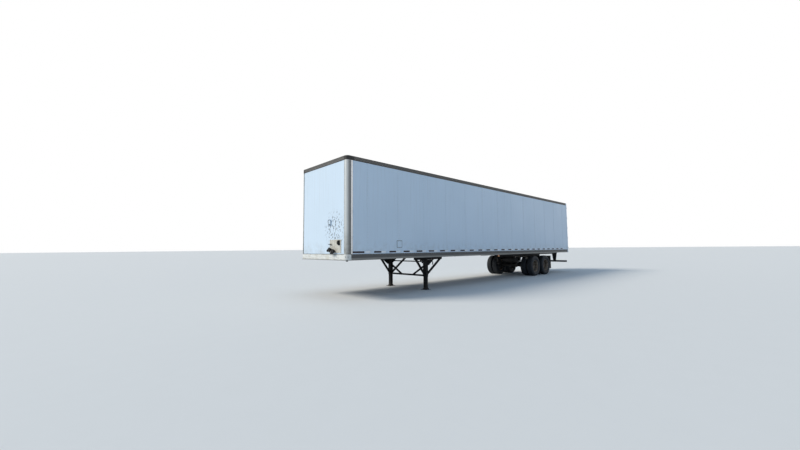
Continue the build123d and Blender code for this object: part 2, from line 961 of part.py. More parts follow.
# The strut between the legs and the two diagonals that rise from it
with BuildPart() as landing_strut:
    strut_end = leg_y - half_tube
    strut_x = (leg_x - strut_size / 2, leg_x + strut_size / 2)
    strut_z_span = (strut_z - strut_size / 2, strut_z + strut_size / 2)
    block(strut_x, (-strut_end, strut_end), strut_z_span)
    for side in (-1, 1):
        section = (
            (side * diagonal_foot_y, strut_z),
            (side * (diagonal_foot_y + 1.5 * diagonal_size), strut_z),
            (side * strut_end, diagonal_top_z - diagonal_size),
            (side * strut_end, diagonal_top_z),
        )
        bar_along_x(section, (leg_x - diagonal_size / 2, leg_x + diagonal_size / 2))
finish(landing_strut, "landing_strut")

# A gearbox on each leg, the shaft between them, and the folded crank handle
with BuildPart() as landing_crank:
    for side in (-1, 1):
        block(
            (leg_x - gearbox_half, leg_x + gearbox_half),
            (side * (strut_end - gearbox_reach), side * strut_end),
            (crank_z - gearbox_half, crank_z + gearbox_half),
        )
    chamfer(landing_crank.edges().filter_by(Axis.Y), gearbox_half / 3)
    with BuildSketch(Plane.XZ.offset(gearbox_reach - strut_end)):
        with Locations((leg_x, crank_z)):
            Circle(crank_radius)
    extrude(amount=2 * (strut_end - gearbox_reach))
    crank_y = leg_y + half_tube + leg_wall
    with BuildLine() as crank_path:
        FilletPolyline(
            (leg_x, crank_y, crank_z),
            (leg_x, crank_y + gearbox_reach, crank_z),
            (leg_x - crank_arm, crank_y + gearbox_reach, crank_z),
            (leg_x - crank_arm, crank_y + gearbox_reach, crank_z - crank_arm / 2),
            radius=2 * crank_radius,
        )
    with BuildSketch(Plane(origin=crank_path.line @ 0, z_dir=crank_path.line % 0)):
        Circle(crank_radius)
    sweep(path=crank_path.line)
finish(landing_crank, "landing_crank")

# Rails under the floor that the axle frame slides along, with a row of lock holes
with BuildPart() as slider_rails:
    web_y = slider_outer_y + body_rail_side_gap
    rail_web_bottom = body_flange_bottom - body_rail_height
    flange_y = slider_inner_y - body_rail_inward
    section = (
        (flange_y, crossmember_bottom),
        (web_y + body_rail_web, crossmember_bottom),
        (web_y + body_rail_web, rail_web_bottom),
        (web_y, rail_web_bottom),
        (web_y, body_flange_bottom),
        (flange_y, body_flange_bottom),
    )
    bar_along_x(section, (sill_front_x, sill_front_x + body_rail_length))
    hole_count = int(body_rail_length // lock_hole_pitch) - 1
    hole_z = (body_flange_bottom + rail_web_bottom) / 2
    with BuildSketch(Plane.XZ.offset(-web_y - body_rail_web)) as lock_holes:
        with Locations((sill_front_x + body_rail_length / 2, hole_z)):
            with GridLocations(lock_hole_pitch, 0, hole_count, 1):
                RegularPolygon(lock_hole_radius, hole_sides)
    extrude(lock_holes.sketch, amount=body_rail_web, mode=Mode.SUBTRACT)
    mirror(about=Plane.XZ)
finish(slider_rails, "slider_rails")

# Sliding axle frame

with BuildPart() as slider_frame:
    web_inner_y = slider_outer_y - slider_metal
    section = (
        (slider_inner_y, slider_top),
        (slider_outer_y, slider_top),
        (slider_outer_y, slider_bottom),
        (slider_inner_y, slider_bottom),
        (slider_inner_y, slider_bottom + slider_metal),
        (web_inner_y, slider_bottom + slider_metal),
        (web_inner_y, slider_top - slider_metal),
        (slider_inner_y, slider_top - slider_metal),
    )
    bar_along_x(section, (slider_rear_x, slider_front_x))
    mirror(about=Plane.XZ)
    channel_bottom = slider_bottom + cross_channel_rise
    channel_z = (channel_bottom, channel_bottom + cross_channel_height)
    channel_half = cross_channel_width / 2
    cross_places = (
        slider_front_x - cross_front_inset,
        front_axle_x + cross_axle_gap,
        mid_axle_x,
        rear_axle_x - cross_axle_gap,
        slider_rear_x + cross_rear_inset,
    )
    for place in cross_places:
        block((place - channel_half, place + channel_half), (-web_inner_y, web_inner_y), channel_z)
        block(
            (place - channel_half + slider_metal, place + channel_half),
            (-slider_inner_y, slider_inner_y),
            (channel_z[0] + slider_metal, channel_z[1] - slider_metal),
            mode=Mode.SUBTRACT,
        )
finish(slider_frame, "slider_frame")

spring_arc_radius = (spring_half_length**2 + spring_rise**2) / (2 * spring_rise)


def leaf_rise(half_length):
    return spring_arc_radius - math.sqrt(spring_arc_radius**2 - half_length**2)


spring_end_z = spring_top_z + leaf_rise(spring_half_length)
pad_z = hanger_bottom_z + hanger_pad_height
front_hanger_x = front_axle_x + spring_half_length
rear_hanger_x = rear_axle_x - spring_half_length
leaf_ceiling = spring_end_z + sliding_fit
middle_ceiling = spring_end_z + equalizer_height
hanger_table = (
    # centre x, half width at the top, half width at the bottom, slot ceiling
    (front_hanger_x, hanger_top_half, hanger_bottom_half, leaf_ceiling),
    (mid_axle_x, middle_hanger_top_half, middle_hanger_bottom_half, middle_ceiling),
    (rear_hanger_x, hanger_top_half, hanger_bottom_half, leaf_ceiling),
)

with BuildPart() as spring_hangers:
    slot_half = spring_width / 2 + spring_side_gap
    hanger_half = slot_half + hanger_cheek
    for hanger_x, top_half, bottom_half, ceiling in hanger_table:
        section = (
            (hanger_x - bottom_half, hanger_bottom_z),
            (hanger_x + bottom_half, hanger_bottom_z),
            (hanger_x + bottom_half, pad_z),
            (hanger_x + top_half, slider_bottom),
            (hanger_x - top_half, slider_bottom),
            (hanger_x - bottom_half, pad_z),
        )
        bar_along_y(section, (slider_y - hanger_half, slider_y + hanger_half))
        block(
            (hanger_x - top_half, hanger_x + top_half),
            (slider_y - slot_half, slider_y + slot_half),
            (pad_z, ceiling),
            mode=Mode.SUBTRACT,
        )
    mirror(about=Plane.XZ)
finish(spring_hangers, "spring_hangers")

with BuildPart() as leaf_springs:
    leaf_halves = (spring_half_length, second_leaf_half, third_leaf_half)
    for axle_x in (front_axle_x, rear_axle_x):
        with BuildSketch(Plane.XZ.offset(-slider_y - spring_width / 2)):
            for leaf, half in enumerate(leaf_halves):
                top = spring_top_z - leaf * leaf_thickness
                rise = leaf_rise(half)
                with BuildLine():
                    upper = ThreePointArc(
                        (axle_x - half, top + rise), (axle_x, top), (axle_x + half, top + rise)
                    )
                    lower = ThreePointArc(
                        (axle_x - half, top + rise - leaf_thickness),
                        (axle_x, top - leaf_thickness),
                        (axle_x + half, top + rise - leaf_thickness),
                    )
                    Line(upper @ 0, lower @ 0)
                    Line(upper @ 1, lower @ 1)
                make_face()
        extrude(amount=spring_width)
    block(
        (mid_axle_x - equalizer_half, mid_axle_x + equalizer_half),
        (slider_y - slot_half, slider_y + slot_half),
        (leaf_ceiling, middle_ceiling),
    )
    mirror(about=Plane.XZ)
finish(leaf_springs, "leaf_springs")

with BuildPart() as radius_rods:
    for axle_x, hanger_face in (
        (front_axle_x, front_hanger_x - hanger_bottom_half),
        (rear_axle_x, mid_axle_x - middle_hanger_bottom_half),
    ):
        rod_start = axle_x + seat_half
        with BuildSketch(Plane.YZ.offset(rod_start)):
            with Locations((slider_y, rod_arm_z)):
                Circle(rod_arm_radius)
        extrude(amount=hanger_face - rod_start)
    mirror(about=Plane.XZ)
finish(radius_rods, "radius_rods")

with BuildPart() as axles:
    seat_top = spring_top_z - len(leaf_halves) * leaf_thickness
    shield_y = axle_tube_end + shield_thickness
    bracket_low, bracket_high = chamber_bracket_rise
    bracket_span = (chamber_y - chamber_bracket_half, chamber_y + chamber_bracket_half)
    spindle_end = dual_centre_y + hub_length - spindle_inset
    for axle_x in (front_axle_x, rear_axle_x):
        block(
            (axle_x - seat_half, axle_x + seat_half),
            (slider_y - spring_width / 2, slider_y + spring_width / 2),
            (axle_z, seat_top),
        )
        block(
            (axle_x - chamber_near, axle_x),
            bracket_span,
            (axle_z + bracket_low, axle_z + bracket_high),
        )
        for radius, length in ((axle_radius, axle_tube_end), (spindle_radius, spindle_end)):
            with BuildSketch(Plane.XZ):
                with Locations((axle_x, axle_z)):
                    Circle(radius)
            extrude(amount=-length)
        with BuildSketch(Plane.XZ.offset(-shield_y)):
            with Locations((axle_x, axle_z)):
                Circle(shield_radius)
        extrude(amount=shield_y - axle_tube_end)
        with BuildSketch(Plane.XZ.offset(-axle_tube_end)):
            with Locations((axle_x - camshaft_back, axle_z + camshaft_rise)):
                Circle(camshaft_radius)
        extrude(amount=axle_tube_end - bracket_span[0])
    mirror(about=Plane.XZ)
finish(axles, "axles")

# Each chamber is a spring can, a service can and the clamp band between them
chamber_table = (
    # radius, nearest and farthest distance behind the axle
    (76, chamber_near, 380),
    (92, 175, 285),
    (98, 225, 240),
)
with BuildPart() as brake_chambers:
    for axle_x in (front_axle_x, rear_axle_x):
        for radius, near, far in chamber_table:
            with BuildSketch(Plane.YZ.offset(axle_x - near)):
                with Locations((chamber_y, axle_z + chamber_rise)):
                    RegularPolygon(radius, chamber_sides, major_radius=False)
            extrude(amount=near - far)
    mirror(about=Plane.XZ)
finish(brake_chambers, "brake_chambers")

# Air tank across the frame, hung from a cross channel by two saddles
with BuildPart() as air_tank:
    tank_x = cross_places[1]
    tank_z = channel_bottom - tank_radius - tank_drop
    tank_stations = (
        # distance along Y, radius
        (-tank_half, tank_radius - 1.3 * tank_dome),
        (0.4 * tank_dome - tank_half, tank_radius - 0.5 * tank_dome),
        (tank_dome - tank_half, tank_radius),
        (tank_half - tank_dome, tank_radius),
        (tank_half - 0.4 * tank_dome, tank_radius - 0.5 * tank_dome),
        (tank_half, tank_radius - 1.3 * tank_dome),
    )
    ring(tank_stations, (tank_x, tank_z))
    for side in (-1, 1):
        block(
            (tank_x - saddle_size[0] / 2, tank_x + saddle_size[0] / 2),
            (side * saddle_y - saddle_size[1] / 2, side * saddle_y + saddle_size[1] / 2),
            (tank_z, channel_bottom),
        )
finish(air_tank, "air_tank")

with BuildPart() as mud_flaps:
    flap_outer = half_width - flap_edge
    flap_x = rear_axle_x - flap_behind
    bar_z = (slider_bottom + flap_rise, slider_bottom + flap_rise + flap_bar)
    bar_x = (flap_x - flap_bar / 2, flap_x + flap_bar / 2)
    block(bar_x, (slider_outer_y, flap_outer), bar_z)
    block(
        (flap_x - flap_thickness / 2, flap_x + flap_thickness / 2),
        (flap_outer - flap_width, flap_outer),
        (flap_bottom, bar_z[0]),
    )
    mirror(about=Plane.XZ)
finish(mud_flaps, "mud_flaps")

# Wheels: two tyres, two disc wheels, and a hub with its brake drum, at each end

drum_face = dual_centre_y - disc_thickness
hub_end = dual_centre_y + hub_length
barrel = bead_radius - bead_fit
well = barrel - rim_thickness
rim_half = bead_width / 2
hub_hole = hub_radius + hub_play
disc_depth = dual_spacing / 2 - rim_half + disc_root_inset
# Distance from the tyre's middle, radius
tyre_half = (
    (rim_half, flange_radius + flange_lip),
    (tyre_width / 2, (tyre_radius + bead_radius) / 2),
    (tyre_width / 2 - shoulder_inset, tyre_radius - shoulder_drop),
    (tread_width / 2, tyre_radius),
)


def add_tyre(centre):
    stations = [(centre - u, radius) for u, radius in tyre_half]
    stations += [(centre + u, radius) for u, radius in reversed(tyre_half)]
    ring(stations)
    bore = ((centre - rim_half, bead_radius), (centre + rim_half, bead_radius))
    ring(bore, mode=Mode.SUBTRACT)


# A disc wheel that is bolted to the pair's middle plane, dished away from it
def add_wheel(centre, facing):
    rim_end = rim_half + disc_thickness
    ring(((centre - rim_end, barrel), (centre + rim_end, barrel)))
    for end in (-1, 1):
        bead_seat = centre + end * (rim_half + bead_fit)
        ring(((centre + end * rim_end, flange_radius), (bead_seat, flange_radius)))
    ring(((centre - rim_end, well), (centre + rim_end, well)), mode=Mode.SUBTRACT)
    face = dual_centre_y + facing * disc_thickness
    root = dual_centre_y + facing * disc_depth
    root_face = root + facing * disc_thickness
    back = (
        (dual_centre_y, hub_radius + disc_flat + disc_bend),
        (root, well + disc_weld),
        (root_face, well + disc_weld),
    )
    ring(back)
    dish = (
        (face, hub_radius + disc_flat),
        (root_face, well - disc_weld),
        (root_face + facing * disc_thickness, well - disc_weld),
    )
    ring(dish, mode=Mode.SUBTRACT)
    ring(((dual_centre_y, hub_hole), (face, hub_hole)), mode=Mode.SUBTRACT)


# Modelled once about the Y axis, on the left, then placed at each axle end
outer_tyre_y = dual_centre_y + dual_spacing / 2
inner_tyre_y = dual_centre_y - dual_spacing / 2

with BuildPart() as tyre_pair:
    add_tyre(inner_tyre_y)
    add_tyre(outer_tyre_y)

with BuildPart() as wheel_pair:
    add_wheel(inner_tyre_y, -1)
    add_wheel(outer_tyre_y, 1)
    with BuildSketch(Plane.XZ.offset(disc_depth - dual_centre_y)):
        with PolarLocations(hub_radius + disc_flat + hand_hole_reach, hand_hole_count):
            RegularPolygon(hand_hole_radius, hole_sides, major_radius=False)
    extrude(amount=-2 * disc_depth, mode=Mode.SUBTRACT)

with BuildPart() as hub_and_drum:
    drum_step = drum_face - drum_shoulder
    drum_flat = hub_radius + disc_flat - drum_flat_inset
    drum = (
        (drum_face - drum_width, drum_radius),
        (drum_step, drum_radius),
        (drum_face, drum_flat),
    )
    ring(drum)
    hollow = (
        (drum_face - drum_width, drum_radius - drum_wall),
        (drum_step - drum_face_wall / 2, drum_radius - drum_wall),
        (drum_face - drum_face_wall, drum_flat - drum_cone_wall),
    )
    ring(hollow, mode=Mode.SUBTRACT)
    boss_start = drum_face - hub_boss
    ring(((boss_start, hub_radius), (hub_end, hub_radius - hub_draft)))
    ring(((hub_end, cap_radius), (hub_end + cap_length, cap_radius - cap_draft)))
    with BuildSketch(Plane.XZ.offset(-boss_start)):
        Circle(spindle_radius + pin_clearance)
    extrude(amount=boss_start + hub_end_wall - hub_end, mode=Mode.SUBTRACT)

wheel_set = (("tyres", tyre_pair), ("wheels", wheel_pair), ("hub", hub_and_drum))
for axle_name, axle_x in (("front", front_axle_x), ("rear", rear_axle_x)):
    for side_name in ("left", "right"):
        for piece_name, model in wheel_set:
            with BuildPart() as placed:
                with Locations((axle_x, 0, axle_z)):
                    add(model.part)
                if side_name == "right":
                    mirror(about=Plane.XZ, mode=Mode.REPLACE)
            finish(placed, f"{side_name}_{axle_name}_{piece_name}")

# Fittings on the front wall

wall_face_x = nose_x - wall_inset
plate_face_x = wall_face_x + plate_thickness
plate_outer_y = half_width - plate_edge
plate_bottom_z = rail_bottom + plate_rise
with BuildPart() as connection_plate:
    block(
        (wall_face_x, plate_face_x),
        (plate_outer_y - plate_width, plate_outer_y),
        (plate_bottom_z, plate_bottom_z + plate_height),
    )
finish(connection_plate, "connection_plate")

# Two air couplings, each a round body on a stem, and the lamp socket beside them
coupling_places = (
    # inward from the plate's edge, up from its foot
    (500, 100),
    (320, 50),
)
socket_place = (100, 290)
with BuildPart() as air_couplings:
    stem_end_x = nose_x + front_reach - coupling_head
    for inward, rise in coupling_places:
        place = (plate_outer_y - inward, plate_bottom_z + rise)
        with BuildSketch(Plane.YZ.offset(plate_face_x)):
            with Locations(place):
                Circle(coupling_radius)
        extrude(amount=stem_end_x - plate_face_x)
        with BuildSketch(Plane.YZ.offset(stem_end_x)):
            with Locations(place):
                SlotOverall(*coupling_size, rotation=coupling_turn)
        extrude(amount=coupling_head)
    with BuildSketch(Plane.YZ.offset(plate_face_x)):
        with Locations((plate_outer_y - socket_place[0], plate_bottom_z + socket_place[1])):
            RectangleRounded(*socket_size, socket_round)
    extrude(amount=socket_length)
finish(air_couplings, "air_couplings")

with BuildPart() as document_box:
    document_outer_y = half_width - document_edge
    document_z = rail_bottom + document_rise
    block(
        (wall_face_x, wall_face_x + document_depth),
        (document_outer_y - document_size[0], document_outer_y),
        (document_z, document_z + document_size[1]),
    )
finish(document_box, "document_box")
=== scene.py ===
import math

import bmesh
import bpy
import numpy as np
from mathutils import Matrix, Vector


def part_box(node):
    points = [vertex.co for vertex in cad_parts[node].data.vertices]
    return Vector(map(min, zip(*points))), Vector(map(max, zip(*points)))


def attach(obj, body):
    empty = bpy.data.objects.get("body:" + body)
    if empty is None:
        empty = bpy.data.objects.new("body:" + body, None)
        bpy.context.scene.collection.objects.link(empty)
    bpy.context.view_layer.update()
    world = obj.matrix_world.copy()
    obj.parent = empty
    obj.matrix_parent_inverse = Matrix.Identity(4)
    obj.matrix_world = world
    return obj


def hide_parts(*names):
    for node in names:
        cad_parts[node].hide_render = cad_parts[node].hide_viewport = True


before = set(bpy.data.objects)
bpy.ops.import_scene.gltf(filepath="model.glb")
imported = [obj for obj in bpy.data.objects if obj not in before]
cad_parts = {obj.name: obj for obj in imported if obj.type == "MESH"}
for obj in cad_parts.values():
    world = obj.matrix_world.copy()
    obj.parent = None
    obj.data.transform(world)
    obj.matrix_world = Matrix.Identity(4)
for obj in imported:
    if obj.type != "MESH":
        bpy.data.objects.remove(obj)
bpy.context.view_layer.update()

print("frame loaded with", len(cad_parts), "nodes")

# Places read from the frame, in metres
van = {
    "rearFrameDepth": 0.110,
    "postDepth": 0.160,
    "postRadius": 0.110,
    "recess": 0.003,      # of the wall behind a joint strip, and of a rail's web behind its edges
    "bite": 0.0004,       # how far flat trim reaches into the face that carries it
}
sides = {"left": 1, "right": -1}
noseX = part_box("corner_posts")[1].x
postBack = noseX - van["postDepth"]
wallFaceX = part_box("front_wall")[1].x
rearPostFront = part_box("rear_header")[1].x
frameRearX = rearPostFront - van["rearFrameDepth"]
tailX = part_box("left_door")[0].x
bodyLength = noseX - tailX
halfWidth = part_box("top_rails")[1].y
recessY = halfWidth - van["recess"]
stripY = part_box("side_walls")[1].y
wallY = stripY - van["recess"]
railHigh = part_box("bottom_rails")[1].z
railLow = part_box("bottom_rails")[0].z
topRailLow, topRailHigh = (corner.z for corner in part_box("top_rails"))
tyreLow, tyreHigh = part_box("left_front_tyres")
tyreRadius = (tyreHigh.z - tyreLow.z) / 2
axleZ = tyreLow.z + tyreRadius
pairMiddle = (tyreLow.y + tyreHigh.y) / 2
axleX = {end: sum(corner.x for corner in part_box(f"left_{end}_hub")) / 2 for end in ("front", "rear")}
# Each twin wheel: the start of its pieces' names and of its nodes' names, its side, and its centre
wheelEnds = [(f"{sideName}{end.title()}", f"{sideName}_{end}", side, (axleX[end], axleZ))
             for end in axleX for sideName, side in sides.items()]


# Mesh tools: a part is an array of points and a list of arrays of faces

def gridFaces(rows, columns, closeRows=False, closeColumns=True):
    # Quads between neighbours on a grid of points, row after row
    row = np.arange(rows if closeRows else rows - 1)[:, None]
    column = np.arange(columns if closeColumns else columns - 1)[None, :]
    nextRow, nextColumn = (row + 1) % rows, (column + 1) % columns
    corners = (row * columns + column, nextRow * columns + column,
               nextRow * columns + nextColumn, row * columns + nextColumn)
    return np.stack(np.broadcast_arrays(*corners), -1).reshape(-1, 4)


def endFaces(rows, columns):
    # The first and the last row of a grid, each as one face
    return np.stack([np.arange(columns), np.arange(columns) + (rows - 1) * columns])


def pointsAt(x, y, z):
    return np.stack(np.broadcast_arrays(x, y, z), -1).reshape(-1, 3).astype(float)


def circleTurns(count, start=0.0):
    return np.linspace(0, 2 * np.pi, count, endpoint=False) + start


def circled(turn):
    # The unit circle's points, (cos t, sin t)
    return np.stack([np.cos(turn), np.sin(turn)], 1)


def aboutY(centre, radius, turn, y):
    # Points on circles round an axis along Y
    return pointsAt(centre[0] + radius * np.cos(turn), y, centre[1] + radius * np.sin(turn))


def turned(profile, centre, side=1, count=96, closed=True, ripple=None):
    # Surface of revolution about Y: (r cos t, y, r sin t) for each (y, r) of the profile
    profile = np.asarray(profile, float)
    turn = circleTurns(count)
    radius = np.repeat(profile[:, 1:2], count, axis=1)
    if ripple is not None:
        radius = radius + ripple(profile, turn)
    points = aboutY(centre, radius, turn, side * profile[:, 0:1])
    faces = [gridFaces(len(profile), count, closed)]
    return points, faces if closed else faces + [endFaces(len(profile), count)]


def knobs(places, axis, rings, count=8):
    # Small turned forms on an axis: one ring of points for each (radius, height), ends closed
    places = np.asarray(places, float).reshape(-1, 3)
    axis = np.asarray(axis, float) / np.linalg.norm(axis)
    first = np.cross((0.0, 0.0, 1.0) if abs(axis[2]) < 0.9 else (1.0, 0.0, 0.0), axis)
    first /= np.linalg.norm(first)
    turn = circleTurns(count)
    rings = np.asarray(rings, float)
    around = np.cos(turn)[:, None] * first + np.sin(turn)[:, None] * np.cross(axis, first)
    points = (places[:, None, None, :] + rings[None, :, 1, None, None] * axis
              + rings[None, :, 0, None, None] * around)
    start = (np.arange(len(places)) * len(rings) * count)[:, None, None]
    walls = gridFaces(len(rings), count)[None] + start
    ends = endFaces(len(rings), count)[None] + start
    return points.reshape(-1, 3), [walls.reshape(-1, 4), ends.reshape(-1, count)]


def bar(path, radius, across, count=12):
    # A round bar: a circle carried along a flat path, square to it; across is the path's normal
    path = np.asarray(path, float)
    across = np.asarray(across, float)
    along = np.gradient(path, axis=0)
    along /= np.linalg.norm(along, axis=1, keepdims=True)
    up = np.cross(along, across)
    turn = circleTurns(count)
    circle = np.cos(turn)[None, :, None] * up[:, None, :] + np.sin(turn)[None, :, None] * across
    points = path[:, None, :] + radius * circle
    return points.reshape(-1, 3), [gridFaces(len(path), count), endFaces(len(path), count)]


def rounded(corners, radius, steps=6):
    # A path through corner points with each inner corner c replaced by the quadratic curve from a to b,
    # (1 - s)(1 - s) a + 2s (1 - s) c + ss b
    corners = [np.asarray(corner, float) for corner in corners]
    stretches = [corners[0][None]]
    share = np.linspace(0, 1, steps + 1)[:, None]
    for before, corner, after in zip(corners, corners[1:], corners[2:]):
        start = corner + radius * (before - corner) / np.linalg.norm(before - corner)
        end = corner + radius * (after - corner) / np.linalg.norm(after - corner)
        stretches.append((1 - share) ** 2 * start + 2 * share * (1 - share) * corner + share ** 2 * end)
    stretches.append(corners[-1][None])
    return np.concatenate(stretches)


def slabs(limits):
    # Boxes given as rows of x0, x1, y0, y1, z0, z1
    limits = np.asarray(limits, float).reshape(-1, 6)
    low, high = np.minimum(limits[:, ::2], limits[:, 1::2]), np.maximum(limits[:, ::2], limits[:, 1::2])
    pick = np.array([[0, 0, 0], [1, 0, 0], [1, 1, 0], [0, 1, 0], [0, 0, 1], [1, 0, 1], [1, 1, 1], [0, 1, 1]])
    points = low[:, None, :] + (high - low)[:, None, :] * pick[None]
    quads = np.array([[0, 3, 2, 1], [4, 5, 6, 7], [0, 1, 5, 4], [1, 2, 6, 5], [2, 3, 7, 6], [3, 0, 4, 7]])
    return points.reshape(-1, 3), [(quads[None] + 8 * np.arange(len(limits))[:, None, None]).reshape(-1, 4)]


def rimRows(thick, across, up, wide, alongX=False):
    # Rows for slabs round a rectangle: two that are full length and two between them, thick along X or Y
    (start, end), (low, high) = across, up
    inward, lift = math.copysign(wide, end - start), math.copysign(wide, high - low)
    edges = ((start, end, low, low + lift), (start, end, high - lift, high),
             (start, start + inward, low + lift, high - lift), (end - inward, end, low + lift, high - lift))
    return [(*edge[:2], *thick, *edge[2:]) if alongX else (*thick, *edge) for edge in edges]


def extruded(outline, plane, start, end):
    # A closed outline carried straight along one axis: plane names the two axes it is drawn on
    outline = np.asarray(outline, float)
    count = len(outline)
    points = np.empty((2, count, 3))
    points[..., plane] = outline
    points[..., 3 - sum(plane)] = [[start], [end]]
    return points.reshape(-1, 3), [gridFaces(2, count), endFaces(2, count)]


def slotOutline(centre, length, height, steps=16):
    # Two half circles joined by straight lines
    turn = np.linspace(-np.pi / 2, np.pi / 2, steps)
    radius, reach = height / 2, (length - height) / 2
    arc = (reach, 0) + radius * circled(turn)
    return np.concatenate([arc, -arc]) + np.asarray(centre)


def roundedOutline(centre, width, height, radius, steps=6):
    # A rectangle whose corners are quarter circles
    outline = []
    for corner, (across, up) in enumerate(((1, 1), (-1, 1), (-1, -1), (1, -1))):
        turn = np.linspace(0, np.pi / 2, steps) + corner * np.pi / 2
        middle = (across * (width / 2 - radius), up * (height / 2 - radius))
        outline.append(middle + radius * circled(turn))
    return np.concatenate(outline) + np.asarray(centre)


def taperedOutline(centre, big, small, reach, angle, steps=14):
    # A large and a small circle, wrapped by the two lines that touch both
    lean = math.acos((big - small) / reach)
    turnBig = np.linspace(lean, 2 * np.pi - lean, 2 * steps) + angle
    turnSmall = np.linspace(-lean, lean, steps) + angle
    away = np.array([math.cos(angle), math.sin(angle)]) * reach
    return np.concatenate([big * circled(turnBig), away + small * circled(turnSmall)]) + np.asarray(centre)


def bothEnds(rows, flip, shift=(0, 0)):
    # A row of points, then the same points mirrored, in reverse, to the other end
    rows = np.array(rows)
    return np.concatenate([rows, rows[::-1] * flip + shift])


def bothSides(parts):
    # The parts of the left side, then the same mirrored to the right
    return parts + [(points * np.array([1, -1, 1]), faces) for points, faces in parts]


def addObject(name, data):
    added = bpy.data.objects.new(name, data)
    bpy.context.scene.collection.objects.link(added)
    return added


mergeReach = 0.00001   # points nearer than this become one


def addPiece(name, parts, look, body="van_body", stands=(), bevel=0.0, sharp=35, extra=None):
    # Joins the parts into one mesh, with its normals outwards, and hangs it on its body
    corners, totals, offset = [], [], 0
    for partPoints, partFaces in parts:
        for faces in partFaces:
            corners.append((faces + offset).ravel())
            totals.append(np.full(len(faces), faces.shape[1]))
        offset += len(partPoints)
    corners, totals = np.concatenate(corners), np.concatenate(totals)
    mesh = bpy.data.meshes.new(name)
    mesh.vertices.add(offset)
    mesh.vertices.foreach_set("co", np.concatenate([points for points, faces in parts]).ravel())
    mesh.loops.add(len(corners))
    mesh.loops.foreach_set("vertex_index", corners.astype(np.int32))
    mesh.polygons.add(len(totals))
    mesh.polygons.foreach_set("loop_start", (np.cumsum(totals) - totals).astype(np.int32))
    mesh.update(calc_edges=True)
    mesh.validate()
    piece = addObject(name, mesh)
    work = bmesh.new()
    work.from_mesh(mesh)
    bmesh.ops.remove_doubles(work, verts=work.verts, dist=mergeReach)
    bmesh.ops.recalc_face_normals(work, faces=work.faces)
    work.to_mesh(mesh)
    work.free()
    mesh.polygons.foreach_set("use_smooth", np.ones(len(mesh.polygons), bool))
    mesh.set_sharp_from_angle(angle=math.radians(sharp))
    if bevel:
        edge = piece.modifiers.new("edge", "BEVEL")
        edge.width, edge.segments, edge.limit_method = bevel, 2, "ANGLE"
    if extra:
        extra(piece)
    mesh.materials.append(looks[look])
    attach(piece, body)
    if stands:
        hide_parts(*stands)


# Material tools: each takes sockets or plain values, and gives back a socket

def addNode(tree, kind, inputs=None, **settings):
    made = tree.nodes.new("ShaderNode" + kind)
    for key, value in settings.items():
        setattr(made, key, value)
    for key, value in (inputs or {}).items():
        socket = made.inputs[key]
        if isinstance(value, bpy.types.NodeSocket):
            tree.links.new(value, socket)
        else:
            socket.default_value = (*value, 1.0) if socket.type == "RGBA" else value
    return made


def derive(kind, inputs, output=0, **settings):
    # A node in the tree of the first socket that feeds it
    tree = next(value.id_data for value in inputs.values() if isinstance(value, bpy.types.NodeSocket))
    return addNode(tree, kind, inputs, **settings).outputs[output]


def stretch(coords, scale):
    return derive("Mapping", {"Vector": coords, "Scale": scale})


def noise(coords, scale, detail, rough):
    settings = {"Vector": coords, "Scale": scale, "Detail": detail, "Roughness": rough}
    return derive("TexNoise", settings)


def remap(value, low, high, toLow=0.0, toHigh=1.0, smooth=False):
    limits = {"Value": value, "From Min": low, "From Max": high, "To Min": toLow, "To Max": toHigh}
    return derive("MapRange", limits, interpolation_type="SMOOTHSTEP" if smooth else "LINEAR")


def combine(operation, first, second=0.0):
    return derive("Math", {0: first, 1: second}, operation=operation)


def times(first, second):
    return combine("MULTIPLY", first, second)


def blend(factor, first, second):
    return derive("Mix", {0: factor, 6: first, 7: second}, 2, data_type="RGBA")


def axisOf(coords, axis):
    return derive("SeparateXYZ", {0: coords}, "XYZ".index(axis))


def startMaterial(name, metallic=0.0, specular=0.5, coat=0.0):
    material = bpy.data.materials.new(name)
    material.use_nodes = True
    shader = material.node_tree.nodes["Principled BSDF"]
    for key, value in (("Metallic", metallic), ("Specular IOR Level", specular), ("Coat Weight", coat)):
        shader.inputs[key].default_value = value
    return material, shader, addNode(material.node_tree, "TexCoord").outputs["Object"]


def dress(shader, tint, roughness, relief, depth):
    # Feeds a shader its colour, its roughness, and a bump of the given depth in metres
    normal = derive("Bump", {"Height": relief, "Distance": depth})
    for key, value in (("Base Color", tint), ("Roughness", roughness), ("Normal", normal)):
        shader.id_data.links.new(value, shader.inputs[key])


